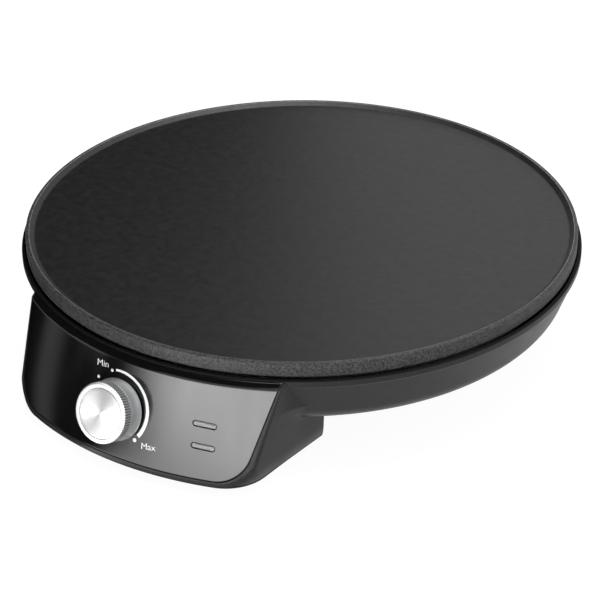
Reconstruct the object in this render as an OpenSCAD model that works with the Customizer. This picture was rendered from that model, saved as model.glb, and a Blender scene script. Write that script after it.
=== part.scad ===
// Electric crepe maker: a round cast griddle plate on a shallow moulded dish,
// with a control pod moulded to the dish's front. Millimetres, +Z up, the table at z = 0.
// The front is -Y. Most pieces are placed about the plate's own axis (see on_axis).

/* [Griddle plate] */
// Outer diameter of the griddle plate
plate_d = 300; // [260:1:340]
// Height of the plate's outer side
plate_side_h = 7.7; // [6:0.1:12]
// Height of the raised rim above the cooking surface
rim_h = 2; // [1:0.1:4]
// Width of the rim's slope down to the cooking surface
rim_slope_w = 2.8; // [1:0.1:6]
// Width of the rim's flat crest
rim_crest_w = 0.8; // [0.4:0.1:2]
// Rounding of the rim's outer edge
rim_round = 1.2; // [0.4:0.1:2]
// Thickness of the casting under the cooking surface
plate_t = 5; // [4:0.1:7]
// Radius of the skirt that hides the gap to the dish
skirt_r = 143.5; // [120:0.5:145]
// Thickness of the skirt
skirt_t = 2.4; // [1.5:0.1:4]
// How far the skirt hangs below the casting
skirt_h = 8.4; // [5:0.1:12]
// Number of ribs between the element channel and the skirt
rib_count = 12; // [6:1:20]
// Thickness of a rib
rib_t = 3; // [2:0.1:5]
// Height of a rib
rib_h = 5; // [3:0.1:8]

/* [Heating] */
// Radius of the heating element's ring
element_ring_r = 95; // [70:1:105]
// Radius of the element's tube
element_tube_r = 3.5; // [3:0.1:4.5]
// Half of the angle left open between the element's ends
element_gap_a = 12; // [10:0.5:20]
// Thickness of the channel's wall beside the element
channel_wall = 4; // [3:0.1:6]
// Length of the element's ends that point down
element_end_h = 7; // [5:0.5:12]
// Length of the ceramic seal on each end
seal_h = 6; // [4:0.5:8]
// Radius of the ceramic seal
seal_r = 4.4; // [4:0.1:6]
// Length of the flat tab on each end
tab_h = 9; // [7:0.5:12]
// Radius of the temperature sensor's bulb
bulb_r = 3; // [2.5:0.1:4]
// Length of the sensor's bulb
bulb_l = 50; // [40:1:60]
// Radius of the capillary tube
capillary_r = 0.9; // [0.6:0.1:1.5]
// Radius of the thermal fuse
fuse_r = 2; // [1.5:0.1:3]
// Length of the thermal fuse
fuse_l = 12; // [9:1:16]
// Thickness of the sheet that straps are bent from
strap_t = 0.8; // [0.5:0.1:1.2]

/* [Heat shield] */
// Radius of the heat shield
shield_r = 126; // [110:1:130]
// Thickness of the shield's sheet
shield_t = 0.8; // [0.5:0.1:1.2]
// Height of the shield's turned-up edge
shield_edge_h = 6; // [3:0.5:9]

/* [Dish] */
// Height of the dish's lip above the table
lip_z = 58.7; // [54:0.1:66]
// How far the lip reaches past the plate
lip_reach = 2.4; // [1.5:0.1:5]
// Air gap between the lip and the plate
plate_gap = 1; // [0.6:0.1:2]
// Height of the plain band under the lip
lip_band_h = 4.5; // [3:0.1:6]
// Step in from the band to the wall
lip_step = 0.9; // [0.5:0.1:2]
// Height of the dish's flat bottom above the table
dish_floor_z = 27; // [22:0.5:32]
// Slope of the dish's wall from the vertical
dish_draft = 20; // [12:0.5:26]
// Rounding between the wall and the bottom
dish_round = 15.5; // [10:0.5:20]
// Wall thickness of the moulding
wall = 2.4; // [2:0.1:3]

/* [Control pod] */
// Height of the sloping front panel's top edge
panel_top_z = 55.7; // [50:0.1:56]
// How far the panel's top edge stands out from the lip
panel_top_out = 2.8; // [1.6:0.1:7]
// Height of the panel's bottom edge
panel_foot_z = 8; // [7:0.1:12]
// How much further out the panel's bottom edge stands
panel_lean_out = 16.2; // [10:0.1:24]
// Half of the panel's width along its top edge
panel_top_w = 79.1; // [70:0.1:84]
// Half of the panel's width along its bottom edge
panel_foot_w = 71; // [60:0.1:76]
// Rounding of the panel's bottom corners
panel_corner_r = 15; // [8:0.5:20]
// Thickness of the glossy panel
panel_t = 2; // [1.5:0.1:2.5]
// How far the ledge above the panel starts below the lip
ledge_drop = 1; // [0.8:0.1:1.5]
// How far the panel's upper edge is let into the lip
ledge_tuck = 0.3; // [0.2:0.05:0.6]
// Seam round the panel
panel_seam = 0.15; // [0.1:0.01:0.3]
// Rim of the moulding beside the panel, at its top
rim_top_w = 1.2; // [1:0.1:2]
// Rim of the moulding beside the panel, at its bottom
rim_foot_w = 4.2; // [1:0.1:8]
// Length of the pod from the panel's bottom edge to the rear wall
pod_l = 80.4; // [70:0.1:86]
// Flare of the pod's sides towards the rear, at its bottom
side_flare_foot = 0.06; // [0:0.01:0.15]
// Flare of the pod's sides towards the rear, at its top
side_flare_top = 0.1; // [0:0.01:0.2]
// Rounding of the pod's front corners at its bottom
corner_foot_r = 24; // [8:0.5:26]
// Rounding of the pod's front corners above the bottom
corner_mid_r = 4; // [2:0.1:8]
// Rounding of the pod's front corners at its top
corner_top_r = 1.5; // [1:0.1:4]
// Height over which the corners lose their large round
corner_fade_h = 12; // [6:0.5:18]
// How far the pod's front is rounded under at the bottom
front_tuck = 3.4; // [1:0.1:5]
// How far the pod's sides are rounded under at the bottom
side_tuck = 5; // [1:0.1:7]
// Height at which the sides start to round under
side_tuck_z = 15; // [10:0.5:20]
// Largest size of the blend between the pod's side and the dish
blend = 14; // [6:0.5:18]
// Thickness of the pod's bottom cover
cover_t = 2; // [1.5:0.1:3]
// How far the cover stands in from the pod's edge
cover_inset = 2.2; // [0.5:0.1:3]

/* [Feet and screws] */
// Height of the rubber feet below the moulding
foot_h = 3; // [2:0.1:6]
// Radius of a rubber foot
foot_r = 8; // [6:0.5:11]
// Distance of a front foot from the centre line
front_foot_x = 54; // [40:1:58]
// Distance of the front feet behind the panel's bottom edge
front_foot_in = 33.4; // [28:0.1:46]
// Distance of a rear leg from the centre line
rear_leg_x = 78; // [50:1:85]
// Distance of the rear legs behind the plate's axis
rear_leg_y = 72; // [50:1:85]
// Radius of a rear leg at its foot
leg_foot_r = 11; // [9.5:0.5:14]
// Slope of a rear leg's wall from the vertical
leg_draft = 4; // [1:0.5:8]
// Radius of the circle of screws that hold the plate
screw_ring_r = 118; // [112:1:122]
// Radius of a plate screw's shank
screw_r = 2; // [1.5:0.1:2.5]
// Radius of a plate screw's head
screw_head_r = 4; // [3.5:0.1:4.5]
// Height of a plate screw's head
screw_head_h = 2.4; // [2:0.1:3]
// Height of the bosses that carry the shield and the plate
boss_top_z = 40; // [37:0.5:44]

/* [Knob and thermostat] */
// Height of the knob's centre on the panel
knob_z = 31.3; // [28:0.1:36]
// Radius of the knob's knurled face
knob_r = 15.7; // [13:0.1:18]
// Radius of the knob's skirt at its base
knob_base_r = 16.1; // [14:0.1:19]
// How far the knob stands out from the panel
knob_h = 14.2; // [12:0.1:18]
// Running gap between the knob and the panel
knob_gap = 0.6; // [0.4:0.1:1.5]
// Depth of the knurled band behind the face
knurl_h = 5; // [3:0.1:7]
// Number of knurl teeth
knurl_teeth = 72; // [36:4:120]
// Depth of a knurl tooth
knurl_depth = 0.35; // [0.2:0.05:0.6]
// Radius of the spun disc in the knob's face
knob_cap_r = 13; // [10:0.1:13.5]
// Thickness of the spun disc
knob_cap_t = 0.8; // [0.5:0.1:1.5]
// Thickness of the knob's side wall
knob_wall = 1.7; // [1.2:0.1:2.2]
// Radius of the thermostat's spindle
spindle_r = 3; // [2.5:0.1:4]
// Running clearance round the spindle
spindle_fit = 0.05; // [0.03:0.01:0.1]
// Radius of the thermostat's threaded bush
bush_r = 4.8; // [4.5:0.1:6]
// Radius of the thermostat's body
thermostat_r = 13; // [11:0.5:14]
// Depth of the thermostat's body
thermostat_h = 20; // [16:0.5:22]
// Width across the flats of the bush's nut
nut_w = 14; // [12:0.5:17]
// Thickness of the bush's nut
nut_h = 2.5; // [2:0.1:3.5]

/* [Pilot windows] */
// Angle of the windows from the front, round the plate's axis
window_a = 17.5; // [14:0.5:20]
// Height of the upper window
window_top_z = 35; // [32:0.5:40]
// Height of the lower window
window_low_z = 24.2; // [20:0.1:28]
// Length of a window
window_l = 12.8; // [8:0.1:16]
// Height of a window
window_h = 2.9; // [2:0.1:4]
// Radius of a neon lamp behind a window
lamp_r = 2; // [1.5:0.1:2.5]

/* [Supply inlet] */
// Distance of the cord inlet from the centre line
inlet_x = 40; // [20:1:50]
// Height of the cord inlet
inlet_z = 13; // [13:0.5:18]
// Radius of the bore for the cord
inlet_r = 3.4; // [3:0.1:4.5]
// Wall of the rubber gland round the bore
gland_wall = 2; // [1.5:0.1:3]

/* [Fits] */
// Clearance of pieces that are pushed together
push_fit = 0.1; // [0.05:0.01:0.2]

/* [Hidden] */

$fn = 96;
past = 1;                                      // how far a cutting tool runs past a face
plate_r = plate_d / 2;
plate_foot_z = lip_z + plate_gap;              // lower edge of the plate's side
crest_z = plate_foot_z + plate_side_h;
surface_z = crest_z - rim_h;
under_z = surface_z - plate_t;                 // underside of the casting
lip_r = plate_r + lip_reach;
pod_z = foot_h + cover_t;                      // lower edge of the pod

// Dish: a drafted wall that turns into the flat bottom with one round
wall_top_r = lip_r - lip_step;
wall_top_z = lip_z - lip_band_h;
round_z = dish_floor_z + dish_round;
round_end_z = round_z - dish_round * sin(dish_draft);
round_end_r = wall_top_r - (wall_top_z - round_end_z) * tan(dish_draft);
round_r = round_end_r - dish_round * cos(dish_draft);
floor_top_z = dish_floor_z + wall;

// Pod: its front is a cone about the plate's axis
panel_top_r = lip_r + panel_top_out;           // radii about the plate's axis
panel_foot_r = panel_top_r + panel_lean_out;
pod_rear = panel_foot_r - pod_l;               // distance of the rear wall from the plate's axis
front_foot_y = panel_foot_r - front_foot_in;
pod_reach = panel_foot_r + 30;                 // farther out than any part of the pod
panel_tilt = atan((panel_foot_r - panel_top_r) / (panel_top_z - panel_foot_z));
ledge_z = lip_z - ledge_drop;                  // upper edge of the ledge above the panel
ledge_r = lip_r + 0.4;
ledge_run = (panel_top_r - ledge_r) / (ledge_z - panel_top_z);
ledge_stretch = sqrt(1 + 1 / (ledge_run * ledge_run));
nose_end_a = 60;                               // the pod's form runs this far round the axis
nose_columns = [10, 6, 8];                     // facets on the front, the corner and the side
nose_levels = [panel_foot_z, 11.5, 16, dish_floor_z + 0.3, dish_floor_z + 0.6, 31, 36, 42, 49];
blend_foot_z = dish_floor_z + 3;               // the blend grows from here up
blend_grow_h = 12;
dish_hide = 0.4;                               // the pod's form ends this far inside the dish

// Knob: lengths along its axis are from the panel's face, positive outwards
knob_front_r = pod_front_r(knob_z);
knob_bevel = 0.8;
knob_profile = [[knob_base_r, knob_gap], [knob_base_r, knob_gap + 0.8],
    [knob_r - 0.1, knob_gap + 3.4], [knob_r - 0.4, knob_h - knurl_h - knob_bevel - 0.4],
    [knob_r, knob_h - knurl_h - knob_bevel], [knob_r, knob_h - knob_bevel],
    [knob_r - knob_bevel, knob_h]];
knob_reach = max([for (p = knob_profile)
    knob_front_r + p[1] * cos(panel_tilt) + p[0] * sin(panel_tilt)]);
axis_y = (knob_reach - lip_r) / 2;             // centres the whole part on the origin
spot_face_h = 0.6;                             // flat sunk into the panel under the nut
bush_out_h = nut_h - spot_face_h + 1;          // end of the bush
inner_wall_h = (panel_t + wall) * cos(panel_tilt);
seat_h = inner_wall_h + 1;                     // depth of the flat that the thermostat sits on
thermostat_end_h = seat_h + thermostat_h;
spindle_in_h = seat_h + 10;
spindle_out_h = knob_h - knob_cap_t - 2.5;
spindle_flat = 0.6 * spindle_r;                // distance of the flat from the spindle's axis
knob_floor_h = knob_h - knob_cap_t - 1.5;      // underside of the knob's face wall
insert_h = 3.5;
hub_r = spindle_r + 2.4;
thermostat_tab_x = 6;
thermostat_tab_l = 7;
tab_w = 6.3;
tab_t = 0.8;

// Plate screws
boss_r = screw_head_r + 2;
post_r = screw_r + 3;
seat_z = boss_top_z - 7;                       // shoulder that a screw's head pulls on
screw_end_z = boss_top_z + shield_t + 12;
post_turns = [30, 150, 210, 330];
vent_turns = [for (a = [30:15:150]) a];
vent_ring_r = [52, 76];
vent_l = 15;
vent_w = 3;

// Element and sensor
element_z = under_z - element_tube_r - 1.2;
channel_foot_z = element_z - 1.5;
element_end_z = element_z - element_end_h;
seal_foot_z = element_end_z - seal_h;
tab_foot_z = seal_foot_z - tab_h;
pin_r = 1.5;
element_end_p = [element_ring_r * sin(element_gap_a), -element_ring_r * cos(element_gap_a)];
bulb_z = under_z - bulb_r;
bulb_front_y = -78;
fuse_p = [24, -66];
lead_r = 1.2;

// Pieces in the pod
window_seat_h = inner_wall_h + 0.4;            // front of a window's flange, clear of the curved wall
flange_h = 0.9;
flange_w = 1.2;
holder_h = window_seat_h + flange_h + 2 * lamp_r + 0.6;
holder_t = 2;
block_size = [34, 14, 13];
block_p = [-54, -pod_rear - wall - block_size[1], 8];
block_poles = [for (i = [0:2]) block_p[0] + block_size[0] * (i + 0.5) / 3];
cover_screw_r = 1.6;
cover_seam = 0.4;                              // the cover passes the rear wall's inside by this
cover_rear_p = [panel_foot_w - 9, -pod_rear - 9];
cover_front_p = [30, -panel_foot_r + 13.4];
cover_screw_p = [for (p = [cover_rear_p, cover_front_p], s = [-1, 1]) [s * p[0], p[1]]];
cover_post_h = 8;

// Routes of the inner leads, in the plate's frame
function in_pod(x, y, z) = [x, -pod_rear - y, z];
thermostat_back = knob_point(0, 0, -thermostat_end_h - thermostat_tab_l);
capillary_start = knob_point(0, 8, -thermostat_end_h);
capillary_route = [capillary_start, capillary_start + [0, 6, -2], in_pod(0, 31, 28), in_pod(0, 21, 32),
    in_pod(0, 11, 39), in_pod(0, 3, 48), in_pod(0, -4, 55), [0, bulb_front_y - 4, bulb_z],
    [0, bulb_front_y, bulb_z]];
live_route = [[block_poles[2], block_p[1], 14], in_pod(block_poles[2], 22, 14), in_pod(-24, 28, 14),
    in_pod(-18, 30, 14), in_pod(-11, 29, 15), thermostat_back + [-thermostat_tab_x, 7, -2.4],
    thermostat_back + [-thermostat_tab_x, 0.3, -0.1]];
heater_route = [thermostat_back + [thermostat_tab_x, 0.3, -0.1],
    thermostat_back + [thermostat_tab_x, 7, -2.4], in_pod(14, 23, 20), in_pod(19, 15, 26),
    [element_end_p[0], element_end_p[1] - 3, tab_foot_z - 4],
    [element_end_p[0], element_end_p[1], tab_foot_z - 0.2]];
neutral_route = [[block_poles[0], block_p[1], 14], in_pod(block_poles[0], 22, 15), in_pod(-42, 27, 19),
    in_pod(-31, 21, 25), in_pod(-22, 11, 29), [-element_end_p[0], element_end_p[1] - 3, tab_foot_z - 4],
    [-element_end_p[0], element_end_p[1], tab_foot_z - 0.2]];

// ---- Helpers -------------------------------------------------------------------------

// Points of an arc from angle a0 to a1 about c
function arc(c, r, a0, a1, n = 10) =
    [for (i = [0:n]) c + r * [cos(a0 + (a1 - a0) * i / n), sin(a0 + (a1 - a0) * i / n)]];

// Radius of the pod's front cone at height z
function pod_front_r(z) =
    panel_top_r + (panel_top_z - z) * (panel_foot_r - panel_top_r) / (panel_top_z - panel_foot_z);

// Share of the rounding under that is reached at height z, if it starts at top_z
function tucked(z, top_z) =
    let (t = max(0, min(1, (top_z - z) / (top_z - foot_h)))) 1 - sqrt(1 - t * t);
function front_r(z) = pod_front_r(z) - front_tuck * tucked(z, panel_foot_z);

// Place of a point given in the knob's frame: across, up the slope, and out of the panel
function knob_point(x, y, h) = [x, -knob_front_r + y * sin(panel_tilt) - h * cos(panel_tilt),
    knob_z + y * cos(panel_tilt) + h * sin(panel_tilt)];

// Radius of the dish's outside at height z, or none below its bottom
function dish_r(z) = z < dish_floor_z ? 0
    : z < round_end_z ? round_r + sqrt(dish_round * dish_round - pow(round_z - z, 2))
    : wall_top_r - (wall_top_z - min(z, wall_top_z)) * tan(dish_draft);

function mix(a, b, t) = a + (b - a) * t;
function rise(z) = (z - panel_foot_z) / (panel_top_z - panel_foot_z);

// The pod's side at height z is the plan line x = side_x + side_flare * y
function side_flare(z) = mix(side_flare_foot, side_flare_top, rise(z));
function side_x(z) = mix(
    panel_foot_w + rim_foot_w + side_flare_foot * sqrt(pow(panel_foot_r, 2) - pow(panel_foot_w, 2)),
    panel_top_w + rim_top_w + side_flare_top * sqrt(pow(panel_top_r, 2) - pow(panel_top_w, 2)),
    rise(z)) - side_tuck * tucked(z, side_tuck_z);

// The corners' round is large at the bottom and soon becomes small
function corner_r(z) =
    let (low = max(0, 1 - max(0, z - pod_z) / corner_fade_h))
    max(corner_top_r, mix(corner_mid_r, corner_top_r, max(0, rise(z)))
    + (corner_foot_r - corner_mid_r) * pow(low, 1.3));

// Centre of the corner's round: it touches the front cone and the side line
function corner_c(z) =
    let (s = side_flare(z), q = side_x(z) - corner_r(z) * sqrt(1 + s * s),
        reach = front_r(z) - corner_r(z),
        b = q * s, k = 1 + s * s, y = (-b - sqrt(b * b - k * (q * q - reach * reach))) / k)
    [q + s * y, y];

// Angles from the front at which the round starts and ends
function corner_start_a(z) = let (c = corner_c(z)) atan2(c[0], -c[1]);
function corner_end_a(z) =
    let (c = corner_c(z), s = side_flare(z), n = corner_r(z) / sqrt(1 + s * s))
    atan2(c[0] + n, -(c[1] - n * s));

// Radius of the pod alone in direction a: front cone, corner round or side line
function pod_r(a, z) =
    let (c = corner_c(z), u = [sin(a), -cos(a)], across = c[0] * u[1] - c[1] * u[0])
    a <= corner_start_a(z) ? front_r(z)
    : a < corner_end_a(z) ? c * u + sqrt(max(0, pow(corner_r(z), 2) - across * across))
    : side_x(z) / (sin(a) + side_flare(z) * cos(a));

// Larger of two radii, with a soft change of size k between them
function soft_max(a, b, k) = let (h = max(k - abs(a - b), 0) / max(k, 0.01)) max(a, b) + h * h * k / 4;
function blend_k(z) =
    min(blend * min(1, max(0.1, (z - blend_foot_z) / blend_grow_h)),
        max(0.1, pod_front_r(z) - dish_r(z) - 2));
function nose_r(a, z) =
    z < dish_floor_z + 0.5 ? pod_r(a, z) : soft_max(dish_r(z) - dish_hide, pod_r(a, z), blend_k(z));

// The form shrunk by inset: its ledge comes down by ledge_fall and meets the front at ledge_foot_z
function ledge_fall(inset) = inset * ledge_stretch;
function ledge_foot_z(inset) =
    let (front_run = (panel_foot_r - panel_top_r) / (panel_top_z - panel_foot_z))
    panel_top_z - (ledge_fall(inset) * ledge_run - inset) / (ledge_run - front_run);
function form_r(a, z, inset) =
    min(nose_r(a, z) - inset, ledge_r + (ledge_z - ledge_fall(inset) - z) * ledge_run);

// Angles of the form's columns at height z, from one side to the other
function half_turns(z) =
    let (a1 = corner_start_a(z), a2 = corner_end_a(z), n = nose_columns)
    concat([for (i = [0:n[0] - 1]) a1 * i / n[0]],
        [for (i = [0:n[1] - 1]) mix(a1, a2, i / n[1])],
        [for (i = [0:n[2]]) mix(a2, nose_end_a, i / n[2])]);
function turns(z) =
    let (half = half_turns(z), last = len(half) - 1)
    concat([for (i = [last:-1:1]) -half[i]], half);

// Smooth curve through hand-set points, n steps per stretch
function smooth_point(p0, p1, p2, p3, t) =
    0.5 * (2 * p1 + (p2 - p0) * t + (2 * p0 - 5 * p1 + 4 * p2 - p3) * t * t
    + (3 * p1 - p0 - 3 * p2 + p3) * t * t * t);
function smooth_path(p, n = 4) =
    let (last = len(p) - 1)
    concat([for (i = [0:last - 1], k = [0:n - 1])
        smooth_point(p[max(i - 1, 0)], p[i], p[i + 1], p[min(i + 2, last)], k / n)], [p[last]]);
function unit(v) = v / norm(v);

module on_axis() { translate([0, axis_y, 0]) children(); }

// Puts children on the panel: z outwards, x to the right and y up the slope
module on_panel(a, z) {
    on_axis() rotate([0, 0, a]) translate([0, -pod_front_r(z), z])
        rotate([90 - panel_tilt, 0, 0]) children();
}

module on_knob() { on_panel(0, knob_z) children(); }

// A bar with round ends, lying along x, standing from z = h0 to h1
module round_bar(l, w, h0, h1) {
    translate([0, 0, h0]) linear_extrude(h1 - h0)
        polygon(concat(arc([(l - w) / 2, 0], w / 2, -90, 90), arc([(w - l) / 2, 0], w / 2, 90, 270)));
}

// A wire of radius r along a path, as a closed skin of eight-sided rings
module wire(path, r) {
    p = smooth_path(path);
    last = len(p) - 1;
    sides = 8;
    points = [for (i = [0:last]) let (
        along = unit(p[min(i + 1, last)] - p[max(i - 1, 0)]),
        across = unit(cross(along, [0.3, 0.2, 1])), up = cross(across, along))
        for (k = [0:sides - 1])
            p[i] + r * (across * cos(360 * k / sides) + up * sin(360 * k / sides))];
    walls = [for (i = [0:last - 1], k = [0:sides - 1]) let (
        a = i * sides + k, b = i * sides + (k + 1) % sides)
        each [[a, a + sides, b + sides], [a, b + sides, b]]];
    polyhedron(points, concat(walls, [[for (k = [0:sides - 1]) k],
        [for (k = [sides - 1:-1:0]) last * sides + k]]));
}

// A sheet strap that holds a round piece of radius r up against the casting, along y
module strap(r, l, x, y) {
    rr = r + push_fit;
    outer = rr + strap_t;
    wing = outer + 6;
    on_axis() translate([x, y + l, under_z - r]) rotate([90, 0, 0]) linear_extrude(l) {
        difference() {
            union() {
                circle(r = outer);
                translate([-wing, r - strap_t]) square([2 * wing, strap_t]);
            }
            circle(r = rr);
            translate([-rr, 0]) square([2 * rr, r + past]);
            translate([-wing, r]) square([2 * wing, outer]);
        }
    }
}

// ---- Housing -------------------------------------------------------------------------

// The pod's form from z0 up to its ledge, shrunk towards the plate's axis by inset
module nose(inset, z0) {
    top_z = ledge_z - ledge_fall(inset);
    levels = concat([z0], [for (z = concat(nose_levels, [ledge_foot_z(inset)]))
        if (z < top_z - 0.3) z], [top_z]);
    points = [for (z = levels) each concat([[0, 0, z]],
        [for (a = turns(z)) let (r = form_r(abs(a), z, inset)) [r * sin(a), -r * cos(a), z]])];
    ring = len(points) / len(levels);
    top = len(levels) - 1;
    walls = [for (i = [0:top - 1], k = [0:ring - 1]) let (
        a = i * ring + k, b = i * ring + (k + 1) % ring)
        each [[a, a + ring, b + ring], [a, b + ring, b]]];
    polyhedron(points, concat(walls, [[for (k = [0:ring - 1]) k],
        [for (k = [ring - 1:-1:0]) top * ring + k]]));
}

// The pod, shrunk by inset on its front, sides and ledge, and by rear_inset at its rear wall
module pod_core(inset, rear_inset, z0) {
    intersection() {
        nose(inset, z0);
        translate([-pod_reach, -pod_reach - pod_rear - rear_inset, z0 - past])
            cube([2 * pod_reach, pod_reach, lip_z + 2 * wall]);
    }
}

module dish_outside() {
    rotate_extrude($fn = 180) polygon(concat([[0, dish_floor_z]],
        arc([round_r, round_z], dish_round, -90, -dish_draft),
        [[wall_top_r, wall_top_z]],
        arc([lip_r - lip_step, wall_top_z + lip_step], lip_step, -90, 0, 6),
        arc([lip_r - 0.6, lip_z - 0.6], 0.6, 0, 90, 4), [[0, lip_z]]));
}

module dish_inside() {
    back = wall / cos(dish_draft);
    rise_r = (lip_z + past - wall_top_z) * tan(dish_draft);
    rotate_extrude($fn = 180) polygon(concat([[0, floor_top_z]],
        arc([round_r, round_z], dish_round - wall, -90, -dish_draft),
        [[wall_top_r - back + rise_r, lip_z + past], [0, lip_z + past]]));
}

// The panel's outline seen from the front, run through the pod, grown by g and ending at over_z
module panel_outline(g, over_z) {
    w0 = panel_foot_w + g;
    w1 = panel_top_w + g;
    lean = atan((w1 - w0) / (panel_top_z - panel_foot_z));
    over_w = w1 + (over_z - panel_top_z) * tan(lean);
    c = [w0 - panel_corner_r * (1 - sin(lean)) / cos(lean), panel_foot_z - g + panel_corner_r];
    half = concat(arc(c, panel_corner_r, -90, -lean), [[over_w, over_z]]);
    mirrored = [for (i = [len(half) - 1:-1:0]) [-half[i][0], half[i][1]]];
    translate([0, -pod_rear - 20, 0]) rotate([90, 0, 0]) linear_extrude(pod_reach)
        polygon(concat(half, mirrored));
}

module panel_pocket() {
    difference() {
        panel_outline(panel_seam, ledge_z + panel_seam);
        pod_core(panel_t, 0, pod_z - 2);
        cylinder(r = lip_r - ledge_tuck, h = lip_z);
    }
}

module screw_posts_at(r) { for (a = post_turns) rotate([0, 0, a]) translate([r, 0, 0]) children(); }

module rear_legs_at() { for (s = [-1, 1]) translate([s * rear_leg_x, rear_leg_y, 0]) children(); }

module rear_leg(inset, z0) {
    top_z = dish_floor_z + 0.5;
    grow = tan(leg_draft);
    translate([0, 0, z0]) cylinder(r1 = leg_foot_r - inset + (z0 - foot_h) * grow,
        r2 = leg_foot_r - inset + (top_z + inset - foot_h) * grow, h = top_z + inset - z0);
}

module window_cut(z, grow, h0, h1) {
    rotate([0, 0, window_a]) translate([0, -pod_front_r(z), z]) rotate([90 - panel_tilt, 0, 0])
        round_bar(window_l + 2 * grow, window_h + 2 * grow, h0, h1);
}

module vents() {
    for (a = vent_turns, r = vent_ring_r) rotate([0, 0, a]) translate([r, 0, 0])
        round_bar(vent_l, vent_w, dish_floor_z - past, floor_top_z + past);
}

module cover_posts(r, z0, z1) {
    for (p = cover_screw_p) translate([p[0], p[1], z0]) cylinder(r = r, h = z1 - z0, $fn = 24);
}

module base_shell() {
    color("#2b2c2d") on_axis() {
        difference() {
            union() {
                dish_outside();
                pod_core(0, 0, pod_z);
                rear_legs_at() rear_leg(0, foot_h);
            }
            difference() {
                union() {
                    dish_inside();
                    pod_core(panel_t + wall, wall, pod_z - past);
                    rear_legs_at() rear_leg(wall, foot_h + cover_t);
                }
                screw_posts_at(screw_ring_r) cylinder(r = boss_r, h = boss_top_z);
                thermostat_seat();
                holder_bosses();
                cover_posts(3.6, pod_z, pod_z + cover_post_h);
                cover_post_webs();
            }
            panel_pocket();
            spindle_hole(bush_r + push_fit);
            window_cut(window_top_z, 0, -12, 3);
            window_cut(window_low_z, 0, -12, 3);
            screw_posts_at(screw_ring_r) cylinder(r = screw_r + 0.25, h = boss_top_z + past);
            screw_posts_at(screw_ring_r) cylinder(r = screw_head_r + 0.3, h = seat_z);
            vents();
            rear_legs_at() cylinder(r = 2 + push_fit, h = pod_z + past);
            cover_posts(cover_screw_r - 0.05, pod_z - past, pod_z + cover_post_h - 1);
            inlet_notch();
        }
    }
}

// The gland slides up into this notch in the rear wall, and the cover closes it from below
module inlet_notch() {
    sides = 12;
    notch_r = (inlet_r + gland_wall + push_fit) / cos(180 / sides);
    depth = wall + 2 * past;
    translate([inlet_x, -pod_rear + past, inlet_z]) rotate([90, 0, 0]) {
        cylinder(r = notch_r, h = depth, $fn = sides);
        translate([-notch_r, pod_z - past - inlet_z, 0])
            cube([2 * notch_r, inlet_z - pod_z + past, depth]);
    }
}

module in_knob_frame() {
    translate([0, -knob_front_r, knob_z]) rotate([90 - panel_tilt, 0, 0]) children();
}

module spindle_hole(r) {
    in_knob_frame() translate([0, 0, -seat_h - past]) cylinder(r = r, h = seat_h + 6);
}

module thermostat_seat() {
    in_knob_frame() translate([0, 0, -seat_h]) cylinder(r = bush_r + 6, h = seat_h);
}

module holder_bosses() {
    mid_z = (window_top_z + window_low_z) / 2;
    for (s = [-1, 1]) rotate([0, 0, window_a]) translate([0, -pod_front_r(mid_z), mid_z])
        rotate([90 - panel_tilt, 0, 0]) translate([10 * s, 0, -holder_h])
            cylinder(r = 2.2, h = holder_h - inner_wall_h + 1, $fn = 24);
}

// Webs that carry the cover's posts on the pod's walls
module cover_post_webs() {
    for (p = cover_screw_p) translate([0, 0, pod_z])
        if (abs(p[0]) > 50) translate([p[0] > 0 ? p[0] : p[0] - 14, p[1] - 1, 0])
            cube([14, 2, cover_post_h]);
        else translate([p[0] - 1, p[1] - 14, 0]) cube([2, 14, cover_post_h]);
}

module control_panel() {
    color("#3c3e40") on_axis() difference() {
        intersection() {
            difference() {
                pod_core(0, 0, pod_z);
                pod_core(panel_t, 0, pod_z - 2);
                cylinder(r = lip_r - ledge_tuck + panel_seam, h = lip_z + past);
            }
            panel_outline(0, lip_z + past);
        }
        spindle_hole(bush_r + push_fit);
        in_knob_frame() translate([0, 0, -spot_face_h]) cylinder(r = nut_w / 2 + 2.5, h = 4);
        window_cut(window_top_z, 0, -12, 3);
        window_cut(window_low_z, 0, -12, 3);
    }
}

module pod_outline(inset) {
    rear = pod_rear + cover_seam;
    z = pod_z;
    side = [side_x(z) - side_flare(z) * rear - inset, -rear];
    front = [for (a = turns(z)) let (r = pod_r(abs(a), z) - inset / max(0.45, sin(max(30, abs(a)))))
        if (r * cos(a) > rear + 4) [r * sin(a), -r * cos(a)]];
    polygon(concat([[-side[0], side[1]]], front, [side]));
}

module foot_holes() {
    for (s = [-1, 1]) translate([s * front_foot_x, -front_foot_y, 0])
        cylinder(r = 2 + push_fit, h = pod_z + past);
}

module pod_cover() {
    color("#17181a") on_axis() difference() {
        translate([0, 0, foot_h]) linear_extrude(cover_t) pod_outline(cover_inset);
        foot_holes();
        cover_posts(cover_screw_r + 0.2, foot_h - past, pod_z + past);
        cover_posts(3.4, foot_h - past, foot_h + 1);
    }
}

module cover_screws() {
    color("silver") on_axis() {
        cover_posts(3.2, foot_h + 0.1, foot_h + 1);
        cover_posts(cover_screw_r - 0.1, foot_h + 1, pod_z + 6);
    }
}

// A rubber foot: a pad below the moulding with a barbed stem through it
module rubber_foot(x, y) {
    stem_r = 2;
    barb_r = 2.9;
    color("#101112") on_axis() translate([x, y, 0]) rotate_extrude($fn = 48)
        polygon([[0, 0], [foot_r - 0.8, 0], [foot_r, 0.8], [foot_r - 0.4, foot_h], [stem_r, foot_h],
            [stem_r, pod_z + push_fit], [barb_r, pod_z + push_fit], [stem_r * 0.7, pod_z + 3],
            [0, pod_z + 3]]);
}

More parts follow.
